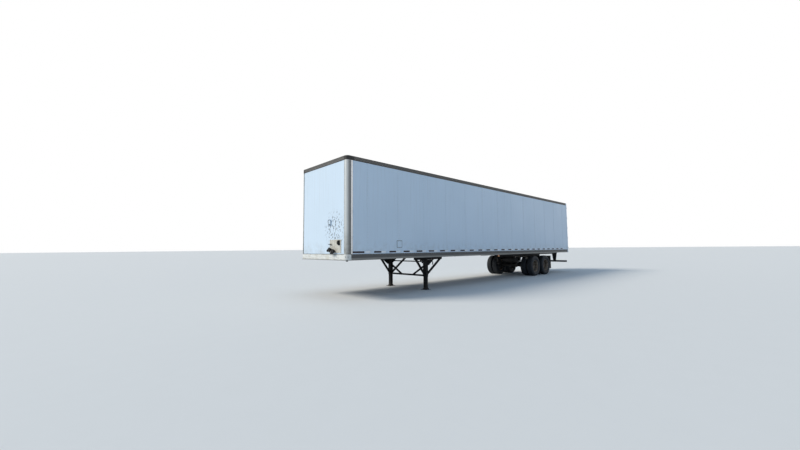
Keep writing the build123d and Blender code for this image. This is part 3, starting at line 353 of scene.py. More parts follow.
# Paints and metals, one row each: base, worn and grime colours, scale and limits of the worn patches,
# scale and amount of the streaks, limits of the roughness, relief in metres, metallic, specular
finishes = {
    "rail_grey": ((0.076, 0.077, 0.076), (0.132, 0.122, 0.108), (0.028, 0.028, 0.027), 2.4, (0.42, 0.70),
                  (0.6, 6, 22), 0.35, (0.48, 0.70), 0.0003, 0.35, 0.5),
    "front_rail": ((0.745, 0.750, 0.720), (0.60, 0.585, 0.52), (0.20, 0.17, 0.13), 5.0, (0.46, 0.72),
                   (1.5, 2.5, 14), 0.50, (0.40, 0.65), 0.0004, 0.0, 0.5),
    "corner_black": ((0.018, 0.018, 0.019), (0.040, 0.039, 0.036), (0.080, 0.076, 0.068), 8.0, (0.45, 0.70),
                     (9, 9, 0.5), 0.35, (0.40, 0.65), 0.0004, 0.0, 0.3),
    "roof": ((0.50, 0.51, 0.515), (0.435, 0.44, 0.43), (0.30, 0.29, 0.265), 1.7, (0.36, 0.74),
             (6, 0.6, 6), 0.35, (0.66, 0.84), 0.0006, 0.1, 0.2),
    "bare_inside": ((0.55, 0.56, 0.56), (0.42, 0.42, 0.40), (0.42, 0.42, 0.40), 4.0, (0.40, 0.70),
                    (9, 9, 0.5), 0.35, (0.35, 0.6), 0.0004, 0.6, 0.5),
    "underframe": ((0.020, 0.020, 0.022), (0.040, 0.034, 0.029), (0.075, 0.064, 0.052), 6.0, (0.48, 0.68),
                   (5, 5, 1.5), 0.35, (0.50, 0.80), 0.0007, 0.0, 0.25),
    "running_gear": ((0.020, 0.020, 0.021), (0.046, 0.038, 0.031), (0.085, 0.071, 0.058), 9.0, (0.48, 0.70),
                     (7, 7, 3), 0.35, (0.5, 0.85), 0.0009, 0.0, 0.25),
    "coupler": ((0.060, 0.058, 0.056), (0.15, 0.135, 0.12), (0.03, 0.027, 0.023), 5.0, (0.40, 0.70),
                (1.2, 9, 9), 0.35, (0.3, 0.6), 0.0004, 0.6, 0.5),
    "landing": ((0.0065, 0.0070, 0.0085), (0.015, 0.014, 0.013), (0.034, 0.030, 0.026), 8.0, (0.54, 0.72),
                (9, 9, 0.5), 0.20, (0.50, 0.75), 0.0004, 0.0, 0.12),
    "cover_strip": ((0.86, 0.88, 0.90), (0.66, 0.67, 0.67), (0.34, 0.32, 0.28), 4.0, (0.50, 0.80),
                    (12, 12, 0.4), 0.20, (0.20, 0.38), 0.0001, 0.85, 0.5),
    "coupling": ((0.007, 0.007, 0.008), (0.020, 0.019, 0.018), (0.045, 0.041, 0.036), 12.0, (0.50, 0.72),
                 (9, 9, 0.5), 0.25, (0.48, 0.72), 0.0004, 0.0, 0.15),
    "galvanised": ((0.42, 0.42, 0.40), (0.335, 0.33, 0.305), (0.19, 0.155, 0.115), 26.0, (0.36, 0.70),
                   (9, 9, 0.5), 0.35, (0.38, 0.62), 0.0004, 0.6, 0.5),
    "guard_steel": ((0.042, 0.042, 0.044), (0.085, 0.076, 0.066), (0.13, 0.105, 0.080), 9.0, (0.46, 0.70),
                    (9, 9, 1.5), 0.30, (0.50, 0.75), 0.0005, 0.0, 0.25),
    "wheel_disc": ((0.27, 0.225, 0.175), (0.125, 0.074, 0.045), (0.052, 0.038, 0.029), 9.0, (0.36, 0.66),
                   (16, 16, 16), 0.55, (0.5, 0.8), 0.0008, 0.0, 0.35),
    "cast_hub": ((0.085, 0.062, 0.048), (0.165, 0.090, 0.052), (0.035, 0.028, 0.024), 18.0, (0.44, 0.68),
                 (12, 12, 12), 0.35, (0.6, 0.9), 0.0010, 0.0, 0.35),
    "tyre": ((0.0150, 0.0185, 0.0240), (0.025, 0.028, 0.033), (0.062, 0.061, 0.058), 7.0, (0.42, 0.74),
             (6, 14, 6), 0.30, (0.60, 0.90), 0.0006, 0.0, 0.3),
    "black_rubber": ((0.018, 0.018, 0.020), (0.038, 0.037, 0.034), (0.075, 0.068, 0.060), 7.0, (0.42, 0.70),
                     (4, 12, 1.0), 0.35, (0.5, 0.8), 0.0005, 0.0, 0.3),
    "fittings": ((0.64, 0.62, 0.555), (0.45, 0.415, 0.34), (0.17, 0.13, 0.09), 6.0, (0.42, 0.66),
                 (9, 9, 1.2), 0.6, (0.4, 0.65), 0.0004, 0.0, 0.5),
    "hinge_black": ((0.020, 0.020, 0.022), (0.055, 0.045, 0.038), (0.055, 0.045, 0.038), 14.0, (0.50, 0.70),
                    (9, 9, 0.5), 0.35, (0.40, 0.65), 0.0004, 0.0, 0.3),
    "lock_steel": ((0.50, 0.50, 0.49), (0.40, 0.385, 0.36), (0.20, 0.155, 0.115), 22.0, (0.40, 0.72),
                   (9, 9, 0.5), 0.35, (0.28, 0.5), 0.0004, 0.75, 0.5),
    "bright_steel": ((0.42, 0.40, 0.37), (0.22, 0.15, 0.10), (0.09, 0.07, 0.05), 24.0, (0.44, 0.66),
                     (9, 9, 0.5), 0.35, (0.35, 0.6), 0.0004, 0.7, 0.5),
    "rivet": ((0.52, 0.52, 0.50), (0.34, 0.33, 0.31), (0.34, 0.33, 0.31), 20.0, (0.40, 0.70),
              (9, 9, 0.5), 0.35, (0.35, 0.6), 0.0004, 0.5, 0.5),
}
# Low bands: dust on the landing gear, painted shade along the foot of the front bottom rail, and a darker
# band along the lower edge of the top rails; each gives its colour, and the heights where it is full and
# where it ends
dustAndShadeBands = {
    "rail_grey": ((0.020, 0.020, 0.021), topRailLow + 0.014, topRailLow + 0.034),
    # The front bottom rail's band is painted shade along its foot
    "front_rail": ((0.050, 0.046, 0.040), 1.135, 1.180),
    "landing": ((0.052, 0.047, 0.041), 0.0, 0.22),
}
roofBows = {"pitch": 0.6096, "sharpness": 6.0, "height": 5.0}


def weathered(name, base, worn, grime, wornScale, wornRange, streak, amount, rough, depth, metallic,
              specular):
    # Paint or metal: base colour blotched with a worn one, streaked along an axis, and given a low band that
    # is dust on the landing gear, painted shade at the foot of the front bottom rail, and a darker lower edge
    # on the top rails
    material, shader, coords = startMaterial(name, metallic, specular)
    blotch = remap(noise(coords, wornScale, 8.0, 0.65), *wornRange, smooth=True)
    streaks = noise(stretch(coords, streak), 3.0, 5.0, 0.7)
    tint = blend(remap(streaks, 0.45, 0.75, 0.0, amount), blend(blotch, base, worn), grime)
    # The low band of the finishes that have one; on the front bottom rail it is painted shade
    if name in dustAndShadeBands:
        dustAndShade, full, end = dustAndShadeBands[name]
        height = remap(axisOf(coords, "Z"), full, end, 1.0, 0.0)
        tint = blend(times(height, remap(streaks, 0.3, 0.7, 0.35, 1.0)), tint, dustAndShade)
    fine = noise(coords, 90.0, 3.0, 0.5)
    relief = combine("ADD", fine, times(blotch, 0.6))
    if name == "roof":
        # The sheet dips between the bows: a cosine along X, raised to a narrow crest over each bow
        phase = times(axisOf(coords, "X"), 2 * math.pi / roofBows["pitch"])
        crest = combine("POWER", remap(combine("COSINE", phase), -1.0, 1.0), roofBows["sharpness"])
        relief = combine("ADD", relief, times(crest, roofBows["height"]))
    dress(shader, tint, remap(combine("ADD", blotch, fine), 0.2, 1.4, *rough), relief, depth)
    return material


looks = {name: weathered(name, *row) for name, row in finishes.items()}

wallLook = {
    # base and aged: white paint carrying a pale-blue tint of painted skylight
    "base": (0.610, 0.724, 0.837),
    "aged": (0.545, 0.645, 0.735),
    "rain": (0.40, 0.42, 0.43),
    "grime": (0.290, 0.285, 0.255),
    "dustHeights": (1.30, 1.75),
    "roughness": (0.36, 0.46),
    "scuffPlace": (0.0, 0.68, 2.06),
    "scuffReach": (0.28, 0.62),
    "scuffLimits": (0.555, 0.60),
    "scuffStrength": 0.9,
    "scuffColor": (0.060, 0.062, 0.068),
}


def wallMaterial(name, ripple, scuffed=False):
    # White skin tinted pale blue as painted skylight: faint blotches and rain streaks, dust low down, long
    # soft ripples in the sheet
    material, shader, coords = startMaterial(name)
    blotch = remap(noise(coords, 0.7, 4.0, 0.5), 0.25, 0.80, smooth=True)
    streaks = noise(stretch(coords, (11, 11, 0.28)), 2.0, 6.0, 0.7)
    height = axisOf(coords, "Z")
    rain = times(remap(streaks, 0.50, 0.80, 0.0, 0.30), remap(height, 1.2, 4.0, 0.45, 1.0))
    splash = remap(noise(coords, 6.0, 9.0, 0.75), 0.45, 0.75, 0.0, 0.6)
    tint = blend(rain, blend(times(blotch, 0.30), wallLook["base"], wallLook["aged"]), wallLook["rain"])
    tint = blend(times(remap(height, *wallLook["dustHeights"], 1.0, 0.0), splash), tint, wallLook["grime"])
    if scuffed:
        # Dark scuffs above the couplings: small sharp blots inside a soft round patch
        distance = {0: stretch(coords, (0.0, 1.0, 1.0)), 1: wallLook["scuffPlace"]}
        reach = derive("VectorMath", distance, "Value", operation="DISTANCE")
        blots = noise(stretch(coords, (1.0, 17.0, 12.0)), 1.0, 3.0, 0.6)
        blots = remap(blots, *wallLook["scuffLimits"], smooth=True)
        flecks = times(remap(noise(coords, 42.0, 2.0, 0.5), 0.66, 0.72, smooth=True), 0.7)
        patch = remap(reach, *wallLook["scuffReach"], wallLook["scuffStrength"], 0.0)
        tint = blend(times(patch, combine("MAXIMUM", blots, flecks)), tint, wallLook["scuffColor"])
    waves = noise(stretch(coords, (1.9, 1.9, 0.35)), 1.0, 2.0, 0.4)
    dress(shader, tint, remap(blotch, 0.0, 1.0, *wallLook["roughness"]), waves, ripple)
    return material


looks["wall"] = wallMaterial("wall", 0.0014)
looks["front_wall"] = wallMaterial("frontWall", 0.0014, scuffed=True)
looks["door"] = wallMaterial("door", 0.0012)

postPaintedLightAndSoil = {
    # front and side: painted highlight where the post faces the key light, painted shade where it turns away;
    # turn: the span behind the nose over which they blend
    "front": (0.660, 0.675, 0.665),
    "side": (0.185, 0.192, 0.195),
    "turn": (0.105, 0.015),
    "grime": (0.120, 0.112, 0.085),
    "soilHeights": (1.25, 2.10),
    "roughness": (0.26, 0.44),
}


def postMaterial():
    # Bare round corner post: a painted highlight where it faces forward and painted shade round to the side,
    # blended along X, soiled low down
    material, shader, coords = startMaterial("cornerPostPaintedLight", 0.3)
    # Painted highlight toward the front of the post, painted shade toward its side
    forward = remap(axisOf(coords, "X"), *np.subtract(noseX, postPaintedLightAndSoil["turn"]), smooth=True)
    lines = noise(stretch(coords, (30, 30, 0.2)), 3.0, 5.0, 0.7)
    blotch = noise(coords, 2.6, 7.0, 0.65)
    worn = times(remap(lines, 0.42, 0.75), remap(blotch, 0.35, 0.7, 0.15, 0.55))
    tint = blend(worn, blend(forward, postPaintedLightAndSoil["side"], postPaintedLightAndSoil["front"]), postPaintedLightAndSoil["grime"])
    height = remap(axisOf(coords, "Z"), *postPaintedLightAndSoil["soilHeights"], 1.0, 0.0)
    soil = times(height, remap(noise(coords, 7.0, 8.0, 0.7), 0.34, 0.64, 0.10, 0.85))
    rough = remap(blotch, 0.3, 0.7, *postPaintedLightAndSoil["roughness"])
    dress(shader, blend(soil, tint, postPaintedLightAndSoil["grime"]), rough, lines, 0.0002)
    return material


oakLook = {
    "lath": 0.292 / 9,
    "light": (0.42, 0.29, 0.165),
    "dark": (0.235, 0.15, 0.085),
    "scuff": (0.10, 0.085, 0.07),
}


def oakMaterial():
    # Oak strips laid along X: a tone for each narrow strip, grain stretched along it, dark scuffs
    material, shader, coords = startMaterial("floorOak")
    lath = combine("FLOOR", combine("DIVIDE", axisOf(coords, "Y"), oakLook["lath"]))
    tone = derive("TexWhiteNoise", {"W": lath}, noise_dimensions="1D")
    grain = noise(stretch(coords, (2.0, 90, 90)), 1.0, 6.0, 0.6)
    mixed = combine("ADD", times(tone, 0.55), times(grain, 0.55))
    tint = blend(remap(mixed, 0.2, 0.9), oakLook["light"], oakLook["dark"])
    scuffs = remap(noise(stretch(coords, (0.8, 5, 5)), 2.0, 7.0, 0.7), 0.52, 0.72, 0.0, 0.8)
    dress(shader, blend(scuffs, tint, oakLook["scuff"]), remap(grain, 0.3, 0.7, 0.45, 0.7), grain, 0.0006)
    return material


railLook = {
    "upper": (0.082, 0.086, 0.088),
    # bulb: pale painted highlight along the rail's lower flange
    "bulb": (0.215, 0.218, 0.212),
    "edge": (1.196, 1.206),
    "grime": (0.070, 0.066, 0.058),
    "roughness": (0.46, 0.66),
}


def bottomRailMaterial():
    # Dark upper web and, below it, a bulb kept bright as a painted highlight along the lower flange, split by
    # height, streaked along the rail
    material, shader, coords = startMaterial("bottomRail", 0.4)
    split = remap(axisOf(coords, "Z"), *railLook["edge"], 1.0, 0.0)
    streaks = noise(stretch(coords, (0.5, 6, 26)), 3.0, 5.0, 0.7)
    soil = times(remap(streaks, 0.42, 0.75), remap(noise(coords, 2.0, 7.0, 0.65), 0.35, 0.65, 0.2, 0.8))
    tint = blend(soil, blend(split, railLook["upper"], railLook["bulb"]), railLook["grime"])
    dress(shader, tint, remap(streaks, 0.2, 0.8, *railLook["roughness"]), streaks, 0.0003)
    return material


looks["corner_post"] = postMaterial()
looks["oak"] = oakMaterial()
looks["bottom_rail"] = bottomRailMaterial()

# Tape and lenses, one row each: colour, cells in a metre, their depth, clear coat, limits of the roughness
gridLooks = {
    # tapeRed is darkened almost to black: painted shade on red tape
    "tapeRed": ((0.020, 0.0025, 0.005), 260.0, 0.0002, 0.0, (0.45, 0.7)),
    "tapeWhite": ((0.96, 0.965, 0.97), 260.0, 0.0002, 0.0, (0.45, 0.7)),
    "lensRed": ((0.42, 0.008, 0.012), 240.0, 0.0005, 0.8, (0.12, 0.4)),
    "lensAmber": ((0.70, 0.20, 0.010), 240.0, 0.0005, 0.8, (0.12, 0.4)),
}


def gridMaterial(name, tint, scale, depth, coat, roughness):
    # Moulded cells under a clear face: Voronoi cells as a fine bump, and the tint darker toward their edges
    # as painted shade between the cells
    material, shader, coords = startMaterial(name, specular=0.3, coat=coat)
    cells = derive("TexVoronoi", {"Vector": coords, "Scale": scale}, "Distance")
    soil = remap(noise(coords, 9.0, 6.0, 0.7), 0.50, 0.78, 0.0, 0.25)
    # Painted shade: the tint darkens toward each cell's edge
    tone = blend(remap(cells, 0.1, 0.7), tint, tuple(0.80 * part for part in tint))
    dress(shader, blend(soil, tone, (0.12, 0.10, 0.085)), remap(soil, 0.0, 0.25, *roughness), cells, depth)
    return material


looks.update({name: gridMaterial(name, *row) for name, row in gridLooks.items()})
print("finishes made:", len(looks))

# The CAD nodes that wear each finish; the wheels' nodes go by their last word, the rest are underframe
finishNodes = {
    "wall": "side_walls document_box",
    "front_wall": "front_wall",
    "corner_post": "corner_posts",
    "front_rail": "front_bottom_rail",
    "rail_grey": "front_top_rail top_rails",
    "corner_black": "corner_caps",
    "roof": "roof_sheet",
    "bare_inside": "roof_bows",
    "bottom_rail": "bottom_rails",
    "lensAmber": "side_lamps",
    "lensRed": "tail_lamps marker_lamps",
    "oak": "floor",
    "coupler": "coupler_plate kingpin",
    "door": "rear_posts rear_header left_door right_door",
    "galvanised": "rear_sill",
    "guard_steel": "rear_guard",
    "landing": "landing_legs landing_feet landing_arms landing_strut landing_crank",
    "fittings": "connection_plate",
    "black_rubber": "dock_bumpers air_couplings mud_flaps",
    "running_gear": "spring_hangers leaf_springs radius_rods axles brake_chambers air_tank",
    "hinge_black": "left_door_hinges right_door_hinges",
    "lock_steel": "left_door_lock right_door_lock",
}
nodeFinish = {node: look for look, nodes in finishNodes.items() for node in nodes.split()}
wheelFinish = {"tyres": "tyre", "wheels": "wheel_disc", "hub": "cast_hub"}
for nodeName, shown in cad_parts.items():
    default = wheelFinish.get(nodeName.split("_")[-1], "underframe")
    shown.data.materials.clear()
    shown.data.materials.append(looks[nodeFinish.get(nodeName, default)])

# Tyres
tyre = {
    "around": 240,
    "halfSection": 0.140,
    "sidewall": ((0.102, 0.2868), (0.1035, 0.294), (0.108, 0.302), (0.1125, 0.3095), (0.1150, 0.3115),
                 (0.1165, 0.3155), (0.1165, 0.3195), (0.1290, 0.345), (0.1365, 0.372), (0.1380, 0.3860),
                 (0.1400, 0.3880), (0.1400, 0.3910), (0.1386, 0.3930), (0.1390, 0.4080), (0.1400, 0.4100),
                 (0.1398, 0.4130), (0.1383, 0.4150), (0.1370, 0.436), (0.1330, 0.461), (0.1270, 0.480),
                 (0.1215, 0.492), (0.1120, 0.5015)),
    "treadHalf": 0.107,
    "crown": 0.0035,
    "grooves": (-0.066, -0.022, 0.022, 0.066),
    "grooveHalf": 0.0065,
    "grooveFloor": 0.6,      # share of a groove's width that is flat at its foot
    "grooveDepth": 0.013,
    "lugs": 60,
    "lugDepth": 0.004,
    "lugReach": (0.106, 0.1325),
    "lugRadius": 0.45,
    "lugWave": 0.3,
}


def tyreProfile(centre):
    # Across the tread: flat ribs between straight grooves, on a slight crown, then down both sidewalls
    half, floor = tyre["grooveHalf"], tyre["grooveHalf"] * tyre["grooveFloor"]
    edges = [groove + away for groove in tyre["grooves"] for away in (-half, -floor, floor, half)]
    across = np.array([-tyre["treadHalf"], *edges, tyre["treadHalf"]])
    depth = np.array([0.0, *(0.0, tyre["grooveDepth"], tyre["grooveDepth"], 0.0) * len(tyre["grooves"]), 0.0])
    tread = tyreRadius - tyre["crown"] * (across / tyre["treadHalf"]) ** 2 - depth
    wall = np.array(tyre["sidewall"])
    outside = np.concatenate([wall * (-1, 1), np.stack([across, tread], 1), wall[::-1]])
    return outside + (centre, 0)


def shoulderLugs(centre):
    # Notches round both shoulders: a square wave of the turn, only between the tread edge and sidewall
    def ripple(profile, turn):
        reach = np.abs(profile[:, 0:1] - centre)
        inner, outer = tyre["lugReach"]
        shoulder = (reach > inner) & (reach < outer) & (profile[:, 1:2] > tyre["lugRadius"])
        return -tyre["lugDepth"] * shoulder * (np.sin(turn * tyre["lugs"]) > tyre["lugWave"])
    return ripple


tyreCentres = (tyreLow.y + tyre["halfSection"], tyreHigh.y - tyre["halfSection"])
for piece, node, side, centre in wheelEnds:
    parts = [turned(tyreProfile(middle), centre, side, tyre["around"], True, shoulderLugs(middle))
             for middle in tyreCentres]
    addPiece(f"{piece}Tyres", parts, "tyre", f"{node}_wheel", [f"{node}_tyres"], sharp=50)
print("tyres made")

# Disc wheels
rim = {
    "around": 120,
    "outside": ((0.116, 0.2935), (0.1155, 0.2995), (0.1115, 0.301), (0.107, 0.2985), (0.1045, 0.291),
                (0.1035, 0.2855), (0.084, 0.2835), (0.070, 0.276)),
    "inside": ((-0.110, 0.285), (-0.100, 0.276), (-0.082, 0.2735), (-0.068, 0.266)),
    "holeRadius": 0.1095,
    "flatRadius": 0.172,
    "rootRadius": 0.2665,
    "discLift": 0.006,       # from the pair's middle to the middle of each disc's metal
    "discDepth": 0.105,
    "straight": 0.65,        # share of the slope that is straight
    "metal": 0.011,
    "windows": 5,
    "windowRadius": 0.026,
    "windowPlace": 0.223,
    "chart": (0.188, 0.2600),
    "chartSteps": (5, 80),
    "ringSteps": (8, 3),     # rings of points inside and outside the charts
    "lap": 0.001,
}


def onDisc(turn, radius, centre, facing, side):
    # Height of the disc: level at the hub, then a mix of a straight slope and the soft step 3ss - 2sss
    share = np.clip((radius - rim["flatRadius"]) / (rim["rootRadius"] - rim["flatRadius"]), 0, 1)
    curve = rim["straight"] * share + (1 - rim["straight"]) * share ** 2 * (3 - 2 * share)
    height = rim["discLift"] + rim["discDepth"] * curve
    return aboutY(centre, radius, turn, side * (pairMiddle + facing * height))


def discSurface(centre, facing, side):
    # A ring cut in five sectors, each a chart from its round window out to the sector's edges
    (inner, outer), (rows, columns) = rim["chart"], rim["chartSteps"]
    half = math.pi / rim["windows"]
    around = circleTurns(columns, math.pi / 4)
    pull = 1 / np.maximum(np.abs(np.cos(around)), np.abs(np.sin(around)))
    steps = np.linspace(0, 1, rows)[:, None]
    windowTurn = rim["windowRadius"] / rim["windowPlace"] * np.cos(around)
    windowRadius = rim["windowPlace"] + rim["windowRadius"] * np.sin(around)
    edgeTurn = half * np.cos(around) * pull
    edgeRadius = (inner + outer) / 2 + (outer - inner) / 2 * np.sin(around) * pull
    chartTurn = windowTurn + steps * (edgeTurn - windowTurn)
    chartRadius = windowRadius + steps * (edgeRadius - windowRadius)
    sectors = circleTurns(rim["windows"], math.pi / 2)
    chart = [gridFaces(rows, columns)]
    parts = [(onDisc(chartTurn + sector, chartRadius, centre, facing, side), chart) for sector in sectors]
    inward = np.sort(np.unique(np.round(edgeTurn[np.abs(edgeRadius - inner) < 1e-9], 9)))
    rings = (inward[None, :-1] + sectors[:, None]).ravel()
    bands = ((rim["holeRadius"], inner), (outer, rim["rootRadius"] + rim["lap"]))
    for band, count in zip(bands, rim["ringSteps"]):
        turn, radius = np.meshgrid(rings, np.linspace(*band, count))
        parts.append((onDisc(turn, radius, centre, facing, side), [gridFaces(count, len(rings))]))
    return parts


def thicken(piece):
    metal = piece.modifiers.new("metal", "SOLIDIFY")
    metal.thickness, metal.offset, metal.use_even_offset = rim["metal"], 0.0, True


rimSection = np.concatenate([bothEnds(rim[part], (-1, 1)) for part in ("outside", "inside")])
for piece, node, side, centre in wheelEnds:
    rims, discs = [], []
    for facing, middle in zip((-1, 1), tyreCentres):
        rims.append(turned(rimSection + (middle, 0), centre, side, rim["around"]))
        discs += discSurface(centre, facing, side)
    stood = [f"{node}_wheels"]
    addPiece(f"{piece}Rims", rims, "wheel_disc", f"{node}_wheel", stood, sharp=50)
    addPiece(f"{piece}Discs", discs, "wheel_disc", f"{node}_wheel", stood, extra=thicken)
print("disc wheels made")

# Hubs, drums and wheel nuts
hub = {
    "profile": ((1.110, 0.0455), (0.936, 0.0455), (0.934, 0.060), (0.934, 0.104), (0.940, 0.108),
                (0.955, 0.108), (0.957, 0.150), (0.912, 0.190), (0.797, 0.191), (0.795, 0.194),
                (0.795, 0.206), (0.798, 0.209), (0.806, 0.209), (0.809, 0.2055), (0.826, 0.2055),
                (0.829, 0.209), (0.839, 0.209), (0.842, 0.2055), (0.905, 0.2055), (0.912, 0.206),
                (0.930, 0.192), (0.955, 0.172), (0.972, 0.1635), (0.972, 0.1075), (1.000, 0.1070),
                (1.010, 0.1030), (1.030, 0.0900), (1.095, 0.0860), (1.100, 0.0990), (1.122, 0.0990),
                (1.124, 0.0970), (1.124, 0.0760), (1.140, 0.0745), (1.152, 0.0690), (1.158, 0.0600),
                (1.158, 0.0350), (1.155, 0.0320)),
    "nuts": 10,
    "nutCircle": 0.14288,
    "nutRings": ((0.0205, 0.0), (0.0215, 0.003), (0.0215, 0.006), (0.0190, 0.0085), (0.0190, 0.024),
                 (0.0165, 0.0265)),
    "studRings": ((0.0108, 0.0), (0.0108, 0.040), (0.0090, 0.043)),
    "capBolts": 6,
    "capCircle": 0.0870,
    "capFace": 1.124,
    "capRings": ((0.0085, 0.0), (0.0085, 0.0060), (0.0070, 0.0075)),
}
discFace = pairMiddle + rim["discLift"] + rim["metal"] / 2
for piece, node, side, centre in wheelEnds:
    nutTurns = circleTurns(hub["nuts"], math.pi / hub["nuts"])
    nuts = aboutY(centre, hub["nutCircle"], nutTurns, side * discFace)
    caps = aboutY(centre, hub["capCircle"], circleTurns(hub["capBolts"]), side * hub["capFace"])
    outward = (0, side, 0)
    shell = turned(hub["profile"], centre, side, closed=False)
    addPiece(f"{piece}Hub", [shell], "cast_hub", f"{node}_wheel", [f"{node}_hub"])
    nutParts = [knobs(nuts, outward, hub["nutRings"], 6), knobs(nuts, outward, hub["studRings"], 12),
                knobs(caps, outward, hub["capRings"], 6)]
    addPiece(f"{piece}Nuts", nutParts, "cast_hub", f"{node}_wheel")
print("hubs made")

# Marking tape along both sides, in pairs of a red and a white length that ride over the joint strips
tape = {
    "pitch": 0.6096,
    "redStart": 0.984,
    "red": 0.28,
    "white": 0.18,
    "firstRed": (0.175, 0.445),
    "firstWhite": (0.66, 0.18),
    "tailMargin": 0.55,
    "middle": 1.365,
    "height": 0.050,
    "thickness": 0.0006,
    "mesh": 0.006,           # length of one face along the tape
    "ramp": 0.004,
}
joint = {"first": 0.760, "pitch": 1.2192, "half": 0.038, "tailMargin": 0.92}


def tapeLength(fromNose, length):
    # A thin strip whose distance from the wall steps up, softly, where it crosses a joint strip
    along = np.linspace(fromNose, fromNose + length, max(8, int(length / tape["mesh"])))
    phase = (along - joint["first"] + joint["pitch"] / 2) % joint["pitch"] - joint["pitch"] / 2
    rise = np.clip((joint["half"] + tape["ramp"] - np.abs(phase)) / tape["ramp"], 0, 1) * van["recess"]
    inside, outside = wallY + rise - van["bite"], wallY + rise + tape["thickness"]
    low, high = tape["middle"] - tape["height"] / 2, tape["middle"] + tape["height"] / 2
    points = np.empty((4, len(along), 3))
    points[..., 0] = noseX - along
    points[..., 1] = np.stack([inside, outside, outside, inside])
    points[..., 2] = np.array([low, low, high, high])[:, None]
    ends = np.arange(4) * len(along)
    faces = [gridFaces(4, len(along), True, False), np.stack([ends, ends + len(along) - 1])]
    return points.reshape(-1, 3), faces


dashes = np.arange(tape["redStart"], bodyLength - tape["tailMargin"], tape["pitch"])
redTape = bothSides([tapeLength(*tape["firstRed"])] + [tapeLength(start, tape["red"]) for start in dashes])
whiteTape = bothSides([tapeLength(*tape["firstWhite"])]
                      + [tapeLength(start + tape["red"], tape["white"]) for start in dashes])
addPiece("sideTapeRed", redTape, "tapeRed")
addPiece("sideTapeWhite", whiteTape, "tapeWhite")
print("tape laid:", len(redTape), "red lengths")

# Rivets: domes in rows on rails, joint strips and corner posts
rivet = {
    "rings": ((0.0065, 0.0), (0.0056, 0.0016), (0.0028, 0.0026)),
    "railPitch": 0.1016,
    "railEnds": (0.04, 0.05),
    "topRow": 0.030,
    "upperRow": 0.034,
    "upperShift": 0.05,
    "capClear": 0.26,
    "bottomRow": 0.020,
    "stripPitch": 0.0762,
    "stripEnds": (0.09, 0.04),
    "stripColumn": 0.026,
    "postEdge": 0.019,
    "postTurn": 0.12,
    "frontMargin": 0.13,
    "frontRow": 0.142,
}


def row(start, end, pitch):
    return np.linspace(start, end, max(2, int(round(abs(end - start) / pitch)) + 1))


railX = row(postBack - rivet["railEnds"][0], rearPostFront + rivet["railEnds"][1], rivet["railPitch"])
upperX = railX[railX < noseX - rivet["capClear"]] + rivet["upperShift"]
joints = int((bodyLength - joint["tailMargin"]) / joint["pitch"]) + 1
jointX = noseX - joint["first"] - joint["pitch"] * np.arange(joints)
stripX = np.stack([jointX - rivet["stripColumn"], jointX + rivet["stripColumn"]]).ravel()
stripZ = row(railHigh + rivet["stripEnds"][0], topRailLow - rivet["stripEnds"][1], rivet["stripPitch"])
# The last row stands on the round post, on its arc a little way round from the front
postAxis = np.array([math.cos(rivet["postTurn"]), math.sin(rivet["postTurn"]), 0])
postX, postY = (np.array([noseX, halfWidth, 0]) - van["postRadius"] * (1 - postAxis))[:2]
outward = (0, 1, 0)
sideRows = [
    (pointsAt(railX, recessY, topRailLow + rivet["topRow"]), outward),
    (pointsAt(upperX, recessY, topRailHigh - rivet["upperRow"]), outward),
    (pointsAt(railX, recessY, railHigh - rivet["bottomRow"]), outward),
    (pointsAt(stripX[:, None], stripY, stripZ[None, :]), outward),
    (pointsAt(postBack + rivet["postEdge"], recessY, stripZ), outward),
    (pointsAt(postX, postY, stripZ), postAxis),
]
allRivets = bothSides([knobs(places, axis, rivet["rings"]) for places, axis in sideRows])
addPiece("leftRivets", allRivets[:len(sideRows)], "rivet")
addPiece("rightRivets", allRivets[len(sideRows):], "rivet")
frontEnd = halfWidth - rivet["frontMargin"]
frontY = row(-frontEnd, frontEnd, rivet["stripPitch"])
frontRows = np.concatenate([pointsAt(noseX, frontY, railLow + rivet["frontRow"]),
                            pointsAt(noseX - van["recess"], frontY, topRailLow + rivet["topRow"])])
addPiece("frontRivets", [knobs(frontRows, (1, 0, 0), rivet["rings"])], "rivet")
print("rivets set")

# Air couplings and lamp socket on the nose
fitting = {
    "couplings": ((0.520, 1.450, 200), (0.700, 1.400, 215)),   # y, z and lean in degrees
    "big": 0.055,
    "small": 0.032,
    "reach": 0.108,
    "depth": 0.034,
    "sealDepth": 0.010,
    "lug": (0.061, 0.014, 0.072),
    "lugLean": 75,
    "lugDepth": (0.014, 0.002),
    "nut": ((0.030, 0.0), (0.031, 0.003), (0.031, 0.016), (0.027, 0.020)),
    "neck": ((0.018, 0.0), (0.018, 0.030), (0.026, 0.044), (0.030, 0.056)),
    "back": ((0.040, 0.0), (0.036, 0.008), (0.026, 0.014)),
    "seal": ((0.030, 0.0), (0.031, 0.004), (0.028, 0.008), (0.022, 0.008), (0.020, 0.003), (0.0, 0.003)),
    "socket": (0.920, 1.640),
    "flange": (0.108, 0.142, 0.020),
    "flangeDepth": 0.008,
    "barrelDrop": 0.006,
    "barrel": ((0.040, 0.0), (0.040, 0.026), (0.043, 0.028), (0.043, 0.036), (0.038, 0.038)),
    "lid": ((0.043, 0.0), (0.046, 0.002), (0.046, 0.009), (0.040, 0.014), (0.020, 0.016)),
    "lidHinge": (0.006, 0.056, -0.014, 0.014, 0.036, 0.054),
    "screwPlace": (0.044, 0.060),
    "screw": ((0.006, 0.0), (0.006, 0.003), (0.003, 0.005)),
    "stow": (0.018, 0.030, 0.410, 0.560, 1.590, 1.610),
    "stowFeet": ((-0.008, 0.020, 0.445, 0.461, 1.594, 1.606), (-0.008, 0.020, 0.520, 0.536, 1.594, 1.606)),
    "boltMargin": 0.022,
    "boltGrid": (5, 3),      # along Y and Z, round the plate's edge
    "bolt": ((0.010, 0.0), (0.010, 0.003), (0.005, 0.005)),
}
